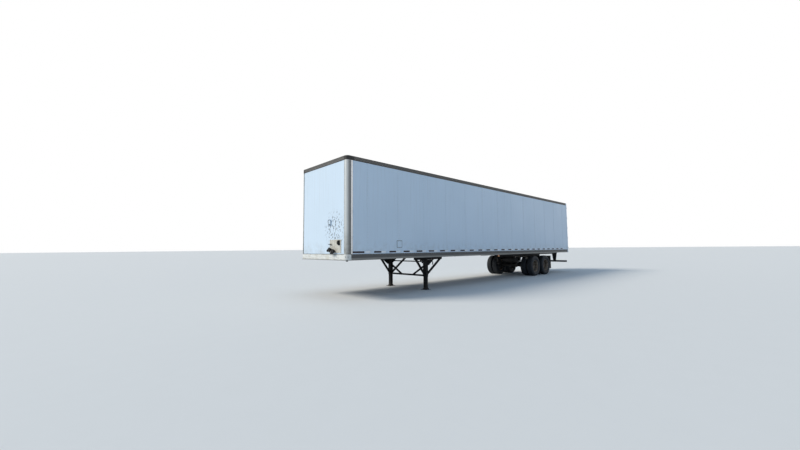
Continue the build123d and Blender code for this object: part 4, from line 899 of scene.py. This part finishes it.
plateLow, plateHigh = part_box("connection_plate")
face = plateHigh.x
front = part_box("air_couplings")[1].x - fitting["sealDepth"]
ahead = (1, 0, 0)
couplingParts, sealParts = [], []
for y, z, lean in fitting["couplings"]:
    outline = taperedOutline((y, z), fitting["big"], fitting["small"], fitting["reach"], math.radians(lean))
    lug = taperedOutline((y, z), *fitting["lug"], math.radians(lean + fitting["lugLean"]))
    couplingParts += [
        knobs((face, y, z), ahead, fitting["nut"], 6),
        knobs((face, y, z), ahead, fitting["neck"], 24),
        extruded(outline, (1, 2), front - fitting["depth"], front),
        extruded(lug, (1, 2), *np.subtract(front, fitting["lugDepth"])),
        knobs((front - fitting["depth"], y, z), (-1, 0, 0), fitting["back"], 24),
    ]
    sealParts.append(knobs((front, y, z), ahead, fitting["seal"], 24))
y, z = fitting["socket"]
barrelZ, lidX = z - fitting["barrelDrop"], face + fitting["barrel"][-1][1]
across, up = fitting["screwPlace"]
screws = [(face + fitting["flangeDepth"], y + i * across, z + j * up) for i in (-1, 1) for j in (-1, 1)]
couplingParts += [
    extruded(roundedOutline((y, z), *fitting["flange"]), (1, 2), face, face + fitting["flangeDepth"]),
    knobs((face, y, barrelZ), ahead, fitting["barrel"], 32),
    knobs((lidX, y, barrelZ), ahead, fitting["lid"], 32),
    slabs(np.array([face, face, y, y, z, z]) + fitting["lidHinge"]),
    knobs(screws, ahead, fitting["screw"], 12),
]
addPiece("airCouplings", couplingParts, "coupling", stands=["air_couplings"], bevel=0.0030)
# A stowage bar above the couplings, on two short feet
stowRows = np.array([fitting["stow"], *fitting["stowFeet"]]) + (face, face, 0, 0, 0, 0)
addPiece("hoseBar", [slabs(stowRows)], "coupling", bevel=0.002)
addPiece("couplingSeals", sealParts, "black_rubber")
margin, (acrossY, upZ) = fitting["boltMargin"], fitting["boltGrid"]
boltY = np.linspace(plateLow.y + margin, plateHigh.y - margin, acrossY)
boltZ = np.linspace(plateLow.z + margin, plateHigh.z - margin, upZ)
plateBolts = np.concatenate([pointsAt(face, boltY[:, None], boltZ[::2]),
                             pointsAt(face, boltY[::4], boltZ[1])])
addPiece("plateBolts", [knobs(plateBolts, ahead, fitting["bolt"], 12)], "bright_steel")

# Document holder: a dark gasket line round its lid, and a latch
holder = {"gasket": 0.013, "proud": 0.003, "latchProud": 0.010, "latchInset": 0.045, "latch": (0.012, 0.030)}
low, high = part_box("document_box")
gasket = rimRows((high.x, high.x + holder["proud"]), (low.y, high.y), (high.z, low.z), holder["gasket"])
latch = (high.x, high.x + holder["latchProud"], low.y + holder["latchInset"], high.y - holder["latchInset"],
         *np.add(low.z, holder["latch"]))
addPiece("holderGasket", [slabs(gasket + [latch])], "hinge_black", bevel=0.0008)

# Dark beads of sealant where the front wall meets its rail and its posts; their dark colour also carries the
# painted shade line along these joints
bead = {
    "width": 0.013,
    "postWidth": 0.020,
    "proud": 0.0045,
    "sunk": 0.001,
    "around": 7,
    "swell": 0.18,
    "waves": (23.0, 9.1),
    "shift": 1.0,
    "inset": 0.125,
    "steps": (240, 260),     # along the rail, and up the posts
}


def sealantBead(run, across, place, width):
    # Half an ellipse carried along an axis, its size swelling by two mixed sine waves
    fast, slow = bead["waves"]
    swell = (1 + bead["swell"] * np.sin(run * fast) * np.sin(run * slow + bead["shift"]))[:, None]
    turn = np.linspace(0, np.pi, bead["around"])
    points = np.empty((len(run), len(turn), 3))
    points[..., 0] = wallFaceX - bead["sunk"] + bead["proud"] * swell * np.sin(turn)
    points[..., 3 - across] = run[:, None]
    points[..., across] = place + width / 2 * swell * np.cos(turn)
    return points.reshape(-1, 3), [gridFaces(len(run), len(turn)), endFaces(len(run), len(turn))]


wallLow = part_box("front_bottom_rail")[1].z
beadEnd = halfWidth - bead["inset"]
railSteps, postSteps = bead["steps"]
railRun, postRun = np.linspace(-beadEnd, beadEnd, railSteps), np.linspace(wallLow, topRailLow, postSteps)
footBead = sealantBead(railRun, 2, wallLow + bead["width"] / 2, bead["width"])
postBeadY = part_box("front_wall")[1].y - bead["postWidth"] / 2
postBead = sealantBead(postRun, 1, postBeadY, bead["postWidth"])
addPiece("frontBeads", [footBead] + bothSides([postBead]), "coupling", sharp=60)

# A pale cover strip behind each corner post, and along its rear edge a thin dark bead that is painted shade
# of the gap to the wall
cover = {"back": 0.004, "width": 0.036, "proud": 0.0036, "bead": 0.009, "beadProud": 0.0016, "clear": 0.001}
coverFront = postBack - cover["back"]
coverBack = coverFront - cover["width"]
coverZ = (railHigh + cover["clear"], topRailLow - cover["clear"])
under = wallY - van["bite"]
coverStrip = slabs([(coverBack, coverFront, under, wallY + cover["proud"], *coverZ)])
# Near-black bead: painted shade of the gap behind the cover strip
coverGapShade = slabs([(coverBack - cover["bead"], coverBack, under, wallY + cover["beadProud"], *coverZ)])
addPiece("coverStrips", bothSides([coverStrip]), "cover_strip", bevel=0.0015)
addPiece("coverGapShades", bothSides([coverGapShade]), "coupling", bevel=0.0007)

# Placard holder low on each side wall: a backing sheet, a folded rim and two spring clips
placard = {
    "fromNose": 2.024,
    "middle": 1.602,
    "size": 0.225,
    "rim": 0.012,
    "corner": 0.004,
    "sheetBelow": 0.0003,    # how far sheet and rim stay behind the side's outermost plane
    "rimBelow": 0.0001,
    "clip": 0.014,
    "clipReach": 0.060,
    "clipDrop": 0.034,
}
x, z, half = noseX - placard["fromNose"], placard["middle"], placard["size"] / 2
thick = (under, halfWidth - placard["rimBelow"])
holderRim = rimRows(thick, (x - half, x + half), (z - half, z + half), placard["rim"], alongX=True)
inside = placard["size"] - 2 * placard["rim"]
holderSheet = extruded(roundedOutline((x, z), inside, inside, placard["corner"]), (0, 2),
                       under, halfWidth - placard["sheetBelow"])
clipHalf, top = placard["clip"] / 2, z + half
clips = [(x + along - clipHalf, x + along + clipHalf, *thick, top - placard["clipDrop"], top - placard["rim"])
         for along in (-placard["clipReach"], placard["clipReach"])]
placardParts = bothSides([slabs(holderRim), slabs(clips)])
addPiece("placardRims", placardParts, "bottom_rail", bevel=0.0008)
addPiece("placardSheets", bothSides([holderSheet]), "wall")
print("front fittings made")

# Rear doors: seals, hinge and guide bolts, and marking tape
door = {
    "seal": 0.016,
    "sealProud": 0.003,
    "hinges": 5,
    "hingeMargin": 0.120,
    "hingeProud": 0.010,
    "pinInset": 0.013,
    "boltInward": (0.085, 0.165, 0.255),
    "bolt": ((0.0115, 0.0), (0.0100, 0.0035), (0.0050, 0.0060)),
    "guideShares": (0.04, 0.27, 0.53, 0.78, 0.94),
    "guideProud": 0.055,
    "guideLift": 0.025,
    "guideBolts": 0.014,
    "rodInset": 0.025,
    "tapeStart": 0.06,
    "tapeMargin": 0.004,
    "tapeHeights": (0.020, 0.070),
}
flatTape = (-0.0012, 0.001)   # its faces before and behind the plate it lies on


def addTape(prefix, runs, body):
    # One piece for each colour of a run of tape
    for tint, rows in runs.items():
        addPiece(f"{prefix}Tape{tint}", [slabs(rows)], f"tape{tint}", body)


for sideName, side in sides.items():
    low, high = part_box(f"{sideName}_door")
    leaf, behind = f"{sideName}_door_leaf", (-1, 0, 0)
    inner, outer = sorted((abs(low.y), abs(high.y)))
    seal = rimRows((low.x - door["sealProud"], low.x), (side * inner, side * outer), (low.z, high.z),
                   door["seal"])
    addPiece(f"{sideName}DoorSeal", [slabs(seal)], "black_rubber", leaf, bevel=0.001)
    pinY = max(abs(corner.y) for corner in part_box(f"{sideName}_door_hinges")) - door["pinInset"]
    hingeZ = np.linspace(low.z + door["hingeMargin"], high.z - door["hingeMargin"], door["hinges"])
    boltY = side * (pinY - np.array(door["boltInward"]))
    lockLow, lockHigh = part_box(f"{sideName}_door_lock")
    rodY = min(abs(lockLow.y), abs(lockHigh.y)) + door["rodInset"]
    guideZ = lockLow.z + np.array(door["guideShares"]) * (lockHigh.z - lockLow.z) + door["guideLift"]
    guideZ = np.concatenate([guideZ - door["guideBolts"], guideZ + door["guideBolts"]])
    bolts = [knobs(pointsAt(low.x - door["hingeProud"], boltY[:, None], hingeZ), behind, door["bolt"], 12),
             knobs(pointsAt(low.x - door["guideProud"], side * rodY, guideZ), behind, door["bolt"], 12)]
    addPiece(f"{sideName}DoorBolts", bolts, "bright_steel", leaf)
    runs = {"Red": [], "White": []}
    start = rodY + door["tapeStart"]
    for tint, length in 2 * (("Red", tape["red"]), ("White", tape["white"])):
        end = min(start + length, outer - door["seal"] - door["tapeMargin"])
        runs[tint].append((*np.add(low.x, flatTape), side * start, side * end,
                           *np.add(low.z, door["tapeHeights"])))
        start = end
    addTape(f"{sideName}Door", runs, leaf)

# Guard and header tape, and lamp grommets
rear = {
    "guardLengths": 10,
    "guardMargin": 0.03,
    "guardTape": (0.025, 0.075),
    "headerTape": (0.030, 0.080),
    "headerReach": (0.83, 1.15),
    "grommetFaces": (0.001, -0.006),
}
# Each kind of lamp: length, height, margin of its grommet, steps inward from the last lamp, and the
# places near the middle
lamps = {
    "tail_lamps": (0.140, 0.056, 0.018, (0.0, 0.160, 0.320), ()),
    "marker_lamps": (0.060, 0.026, 0.012, (0.0,), (0.0, 0.152)),
}
low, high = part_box("rear_guard")
guardTape = {"Red": [], "White": []}
margin = rear["guardMargin"]
edges = np.linspace(low.y + margin, high.y - margin, rear["guardLengths"] + 1)
for i, (start, end) in enumerate(zip(edges, edges[1:])):
    guardTape["White" if i % 2 else "Red"].append((*np.add(low.x, flatTape), start, end,
                                                   *np.add(low.z, rear["guardTape"])))
for side in (-1, 1):
    guardTape["White"].append((*np.add(frameRearX, flatTape), *np.multiply(side, rear["headerReach"]),
                               *np.add(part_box("rear_header")[0].z, rear["headerTape"])))
addTape("guard", guardTape, "van_body")
grommets = []
for node, (length, height, margin, inward, middle) in lamps.items():
    low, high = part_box(node)
    places = [high.y - length / 2 - step for step in inward] + list(middle)
    for y in sorted({round(side * place, 5) for place in places for side in (-1, 1)}):
        outline = slotOutline((y, (low.z + high.z) / 2), length + margin, height + margin)
        grommets.append(extruded(outline, (1, 2), *np.add(frameRearX, rear["grommetFaces"])))
addPiece("lampGrommets", grommets, "black_rubber", bevel=0.001)

# Dock bumpers: rubber plies stacked on a rod, every second one a little smaller, their rear corners round
bumper = {
    "plies": 9,
    "width": 0.090,
    "round": 0.012,
    "step": 0.003,
    "slit": 0.0006,
    "rodNut": ((0.015, -0.002), (0.016, 0.000), (0.016, 0.008), (0.013, 0.010)),
}
low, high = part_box("dock_bumpers")
middleY = high.y - bumper["width"] / 2
plyEdges = np.linspace(low.z, high.z, bumper["plies"] + 1)
plies = []
for i, (foot, top) in enumerate(zip(plyEdges, plyEdges[1:])):
    smaller = bumper["step"] * (i % 2)
    back, front = low.x + smaller, high.x + bumper["round"]
    middle = ((back + front) / 2, middleY)
    outline = roundedOutline(middle, front - back, bumper["width"] - smaller, bumper["round"])
    outline[:, 0] = np.minimum(outline[:, 0], high.x)
    plies.append(extruded(outline, (0, 1), foot + bumper["slit"], top - bumper["slit"]))
plies.append(knobs(((low.x + high.x) / 2, middleY, low.z), (0, 0, -1), bumper["rodNut"], 6))
addPiece("dockBumpers", bothSides(plies), "black_rubber", stands=["dock_bumpers"],
         bevel=0.0012)
print("rear dressed")

# Landing gear: a sleeve on the cross shaft, bolts in wing plates and braces, crank bearing and grip
gear = {
    "legInset": 0.125,
    "legHalf": 0.065,
    "wing": 0.008,
    "topDrop": 0.100,
    "shaftZ": 0.985,
    "sleeveHalf": 0.700,
    "sleeveEnd": ((0.0150, 0.0), (0.0260, 0.001), (0.0260, 0.036), (0.0205, 0.040)),
    "wingBolts": ((0.300, 0.030), (0.200, 0.030), (0.095, 0.075), (0.085, 0.165)),
    "braceBolts": (0.085, 0.025, 0.535),
    "bolt": ((0.0150, 0.0), (0.0160, 0.002), (0.0160, 0.009), (0.0140, 0.011)),
    "washer": ((0.0210, 0.0), (0.0210, 0.003)),
    "bearing": ((0.040, 0.0), (0.040, 0.006), (0.024, 0.010), (0.024, 0.024)),
    "collar": (0.120, 0.116, 0.014),
    "collarHeights": (0.060, 0.072),
    "gripInset": 0.014,
    "gripLift": 0.004,
    "grip": ((0.0155, 0.0), (0.0180, 0.004), (0.0180, 0.070), (0.0160, 0.076)),
}
low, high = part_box("landing_feet")
gearX, gearTop = (low.x + high.x) / 2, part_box("landing_legs")[1].z - gear["topDrop"]
legY = high.y - gear["legInset"]
legOut = legY + gear["legHalf"] + gear["wing"]
outward = (0, 1, 0)
sleeveRings = bothEnds(gear["sleeveEnd"], (1, -1), (0, 2 * gear["sleeveHalf"]))
sleeve = knobs((gearX, -gear["sleeveHalf"], gear["shaftZ"]), outward, sleeveRings, 24)
addPiece("shaftSleeve", [sleeve], "landing", sharp=40)
wingBolts = [(gearX + i * along, legOut, gearTop - drop)
             for along, drop in gear["wingBolts"] for i in (-1, 1)]
along, out, braceZ = gear["braceBolts"]
braceBolts = [(gearX + i * along, legY + out, braceZ) for i in (-1, 1)]
gearBolts = [knobs(places, outward, gear[kind], count) for places in (wingBolts, braceBolts)
             for kind, count in (("bolt", 6), ("washer", 20))]
bearing = knobs((gearX, legOut, gear["shaftZ"]), outward, gear["bearing"], 32)
addPiece("landingBolts", bothSides(gearBolts) + [bearing], "running_gear")
collar = extruded(roundedOutline((gearX, legY), *gear["collar"]), (0, 1), *gear["collarHeights"])
addPiece("footCollars", bothSides([collar]), "landing", bevel=0.003)
low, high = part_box("landing_crank")
gripFoot = (low.x + gear["gripInset"], high.y - gear["gripInset"], low.z + gear["gripLift"])
addPiece("crankGrip", [knobs(gripFoot, (0, 0, 1), gear["grip"], 20)], "black_rubber")
print("landing gear dressed")

# Tandem: clamps over the springs, brake chambers, air tank, lock pull, flap ribs and strips
tandem = {
    "springY": 0.520,
    "springTop": 0.655,
    "clampHalf": 0.050,
    "clampPlaces": (-0.042, 0.042),
    "clampRise": 0.022,
    "clampFoot": 0.420,
    "rod": 0.0095,
    "bend": 0.020,
    "nutLift": 0.002,
    "nut": ((0.015, 0.0), (0.017, 0.002), (0.017, 0.014), (0.015, 0.016)),
    "lowPlate": (0.068, 0.072, 0.434, 0.447),
    "topPlate": (0.062, 0.038, 0.654, 0.668),
    "chamber": ((0.030, 0.000), (0.072, 0.003), (0.076, 0.010), (0.077, 0.022), (0.084, 0.028),
                (0.089, 0.040), (0.091, 0.070), (0.098, 0.074), (0.098, 0.090), (0.091, 0.094),
                (0.092, 0.125), (0.089, 0.134), (0.078, 0.140), (0.076, 0.150), (0.076, 0.214),
                (0.071, 0.225), (0.050, 0.2295), (0.018, 0.230)),
    "chamberPlace": (-0.150, 0.330, 0.030),
    "bandBack": 0.068,
    "bandReach": 0.106,
    "bandBolt": ((0.008, 0.0), (0.009, 0.002), (0.009, 0.026), (0.006, 0.032)),
}
middleY, clampFoot = tandem["springY"], tandem["clampFoot"]
clampTop = tandem["springTop"] + tandem["clampRise"]
clampY = (middleY - tandem["clampHalf"], middleY + tandem["clampHalf"])
clampParts, chamberParts = [], []
for x in axleX.values():
    for clampX in (x + along for along in tandem["clampPlaces"]):
        corners = pointsAt(clampX, np.repeat(clampY, 2), (clampFoot, clampTop, clampTop, clampFoot))
        clampParts.append(bar(rounded(corners, tandem["bend"]), tandem["rod"], (1, 0, 0)))
        nutPlaces = pointsAt(clampX, clampY, clampFoot + tandem["nutLift"])
        clampParts.append(knobs(nutPlaces, (0, 0, 1), tandem["nut"], 6))
    clampParts.append(slabs([(x - along, x + along, middleY - across, middleY + across, foot, top)
                             for along, across, foot, top in (tandem["lowPlate"], tandem["topPlate"])]))
    back, y, up = tandem["chamberPlace"]
    chamberParts.append(knobs((x + back, y, axleZ + up), (-1, 0, 0), tandem["chamber"], 48))
    bandPlaces = [(x + back - tandem["bandBack"], y, axleZ + up + i * tandem["bandReach"]) for i in (1, -1)]
    chamberParts.append(knobs(bandPlaces, (-1, 0, 0), tandem["bandBolt"], 12))
addPiece("springClamps", bothSides(clampParts), "running_gear", "bogie")
addPiece("brakeChambers", bothSides(chamberParts), "running_gear", "bogie",
         ["brake_chambers"])

tank = {
    "radius": 0.120,
    "length": 0.860,
    "end": ((0.020, 0.000), (0.058, 0.004), (0.086, 0.014), (0.104, 0.026), (0.116, 0.040), (0.120, 0.056)),
    "bandY": 0.250,
    "bandHalf": 0.016,
    "bandEnd": ((0.1205, 0.0), (0.1235, 0.001)),
    "lugHalf": (0.040, 0.020),
    "lugFoot": 0.095,
    "drains": (-0.08, 0.16),
    "drainDrop": 0.118,
    "drain": ((0.016, -0.004), (0.016, 0.001), (0.010, 0.001), (0.010, 0.0018)),
}
low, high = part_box("air_tank")
x, z = (low.x + high.x) / 2, low.z + tank["radius"]
along, across = tank["lugHalf"]
bandY = (-tank["bandY"], tank["bandY"])
tankRings = bothEnds(tank["end"], (1, -1), (0, tank["length"]))
bandRings = bothEnds(tank["bandEnd"], (1, -1), (0, 2 * tank["bandHalf"]))
tankParts = [knobs((x, low.y, z), outward, tankRings, 64)]
tankParts += [knobs((x, y - tank["bandHalf"], z), outward, bandRings, 64) for y in bandY]
lugs = slabs([(x - along, x + along, y - across, y + across, z + tank["lugFoot"], high.z) for y in bandY])
drains = knobs([(x, y, z - tank["drainDrop"]) for y in tank["drains"]], (0, 0, -1), tank["drain"], 12)
addPiece("airTank", tankParts + [lugs, drains], "running_gear", "bogie", ["air_tank"],
         bevel=0.001)

pull = {
    "ahead": 0.72,
    "height": 0.985,
    "gripY": (1.185, 1.120),
    "gripDrop": (0.100, 0.020),
    "rod": 0.008,
    "bend": 0.018,
    "rootBehind": 0.004,
    "plateHalf": (0.030, 0.040),
    "plateFaces": (-0.002, 0.010),
}
x, z, frameY = axleX["front"] + pull["ahead"], pull["height"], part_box("slider_frame")[1].y
(outY, backY), (drop, rise) = pull["gripY"], pull["gripDrop"]
pullPath = rounded([(x, frameY - pull["rootBehind"], z), (x, outY, z), (x, outY, z - drop),
                    (x, backY, z - drop), (x, backY, z - rise)], pull["bend"])
along, up = pull["plateHalf"]
pullPlate = slabs([(x - along, x + along, *np.add(frameY, pull["plateFaces"]), z - up, z + up)])
pullParts = [bar(pullPath, pull["rod"], (1, 0, 0)), pullPlate]
addPiece("lockPull", pullParts, "bright_steel", "bogie")

flap = {
    "faceBehind": 0.005,
    "ribs": (0.590, 0.020, 13),
    "ribFaces": (-0.002, 0.001),
    "ribHalf": 0.004,
    "ribEnds": (0.02, 0.10),
    "strip": (0.605, 0.005),
    "stripDrops": (0.080, 0.045),
    "stripProud": 0.006,
    "bolts": (0.56, 0.05, 5),
    "boltDrop": 0.0625,
    "bolt": ((0.011, 0.0), (0.012, 0.002), (0.012, 0.007), (0.010, 0.008)),
}
low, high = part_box("mud_flaps")
x = (low.x + high.x) / 2 - flap["faceBehind"]
ribY, boltY = (np.linspace(high.y - start, high.y - end, count)
               for start, end, count in (flap["ribs"], flap["bolts"]))
ribEnds = (low.z + flap["ribEnds"][0], high.z - flap["ribEnds"][1])
ribs = slabs([(*np.add(x, flap["ribFaces"]), y - flap["ribHalf"], y + flap["ribHalf"], *ribEnds)
              for y in ribY])
strip = slabs([(x - flap["stripProud"], x, *np.subtract(high.y, flap["strip"]),
                *np.subtract(high.z, flap["stripDrops"]))])
boltPlaces = pointsAt(x - flap["stripProud"], boltY, high.z - flap["boltDrop"])
flapBolts = knobs(boltPlaces, (-1, 0, 0), flap["bolt"], 6)
addPiece("flapRibs", bothSides([ribs]), "black_rubber", "bogie")
addPiece("flapStrips", bothSides([strip, flapBolts]), "galvanised", "bogie")
print("tandem dressed")

# Rigid steel pipes clipped below the crossmembers, from behind the coupler plate to the tail
pipes = {
    "places": ((0.300, 0.010), (0.330, 0.007), (0.352, 0.007)),   # y and radius of each
    "ends": (1.33, 0.40),
    "turnUp": 0.020,
    "gap": 0.004,
    "bend": 0.015,
    "clips": (1.75, 0.6, 1.2192),
    "clipHalf": 0.012,
    "clip": (0.284, 0.366, -0.027, -0.025),
}
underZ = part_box("crossmembers")[0].z
start, end = noseX - pipes["ends"][0], tailX + pipes["ends"][1]
pipeParts = []
for y, radius in pipes["places"]:
    top, run = underZ + pipes["turnUp"], underZ - radius - pipes["gap"]
    path = rounded([(start, y, top), (start, y, run), (end, y, run), (end, y, top)], pipes["bend"])
    pipeParts.append(bar(path, radius, (0, 1, 0), 10))
fromNose, toTail, pitch = pipes["clips"]
clipRow = np.array([-pipes["clipHalf"], pipes["clipHalf"], *pipes["clip"]]) + (0, 0, 0, 0, underZ, underZ)
clipPlaces = np.arange(noseX - fromNose, tailX + toTail, -pitch)
pipeParts.append(slabs([clipRow + (x, x, 0, 0, 0, 0) for x in clipPlaces]))
addPiece("servicePipes", pipeParts, "underframe")
print("underside dressed")

# Stage: pale floor, a broad soft key from the front right, even ambient light, the photograph's camera
stage = {
    "floorHalf": 600,
    "floorColor": (0.640, 0.640, 0.635),
    "floorGrain": (0.985, 1.015),
    "floorRoughness": 0.9,
    "ambient": 0.42,
    "ambientColor": (0.60, 0.88, 1.23),
    "keyColor": (1.0, 0.950, 0.850),
    "keyStrength": 3.03,
    "keySpread": 24,
    "keyFrom": (0.62, -0.42, 0.66),
}
half = stage["floorHalf"]
floorMesh = bpy.data.meshes.new("studioFloor")
floorCorners = [(-half, -half, 0), (half, -half, 0), (half, half, 0), (-half, half, 0)]
floorMesh.from_pydata(floorCorners, [], [(0, 1, 2, 3)])
studioFloor = addObject("studioFloor", floorMesh)
floorMaterial, shader, coords = startMaterial("studioFloor")
tints = (tuple(part * scale for part in stage["floorColor"]) for scale in stage["floorGrain"])
floorTint = blend(noise(coords, 3.0, 6.0, 0.6), *tints)
floorMaterial.node_tree.links.new(floorTint, shader.inputs["Base Color"])
shader.inputs["Roughness"].default_value = stage["floorRoughness"]
floorMesh.materials.append(floorMaterial)

world = bpy.data.worlds.new("studio")
bpy.context.scene.world = world
world.use_nodes = True
tree = world.node_tree
tree.nodes.clear()
path = addNode(tree, "LightPath")
seen = combine("MAXIMUM", path.outputs["Is Camera Ray"],
               combine("MAXIMUM", path.outputs["Is Glossy Ray"], path.outputs["Is Transmission Ray"]))
ambient, backdrop = (addNode(tree, "Background", {"Color": tint, "Strength": strength})
                     for tint, strength in ((stage["ambientColor"], stage["ambient"]), ((1, 1, 1), 1.0)))
mixed = derive("MixShader", {0: seen, 1: ambient.outputs[0], 2: backdrop.outputs[0]})
addNode(tree, "OutputWorld", {"Surface": mixed})

key = bpy.data.lights.new("key", "SUN")
key.energy, key.angle, key.color = stage["keyStrength"], math.radians(stage["keySpread"]), stage["keyColor"]
keyHolder = addObject("key", key)
keyHolder.rotation_euler = (-Vector(stage["keyFrom"])).to_track_quat("-Z", "Y").to_euler()

camera = {
    "ahead": 5.360,
    "left": 9.049,
    "height": 1.465,
    "yaw": 226.306,
    "pitch": 3.969,
    "roll": -0.505,
    "focalPixels": 336.22,
    "frameWidth": 800,
    "sensor": 36,
    "clipEnd": 1500,
}
yaw, pitch, roll = (math.radians(camera[part]) for part in ("yaw", "pitch", "roll"))
forward = Vector((math.cos(yaw) * math.cos(pitch), math.sin(yaw) * math.cos(pitch), math.sin(pitch)))
right = Vector((math.sin(yaw), -math.cos(yaw), 0))
upward = right.cross(forward)
rolledRight = math.cos(roll) * right + math.sin(roll) * upward
rolledUp = math.cos(roll) * upward - math.sin(roll) * right
lens = bpy.data.cameras.new("photo")
lens.sensor_width = camera["sensor"]
lens.lens = camera["focalPixels"] * camera["sensor"] / camera["frameWidth"]
lens.clip_end = camera["clipEnd"]
photoCamera = addObject("photo", lens)
turnMatrix = Matrix((rolledRight, rolledUp, -forward)).transposed().to_4x4()
place = Matrix.Translation((noseX + camera["ahead"], camera["left"], camera["height"]))
photoCamera.matrix_world = place @ turnMatrix
bpy.context.scene.camera = photoCamera
bpy.context.scene.view_settings.view_transform = "Standard"
print("stage set")
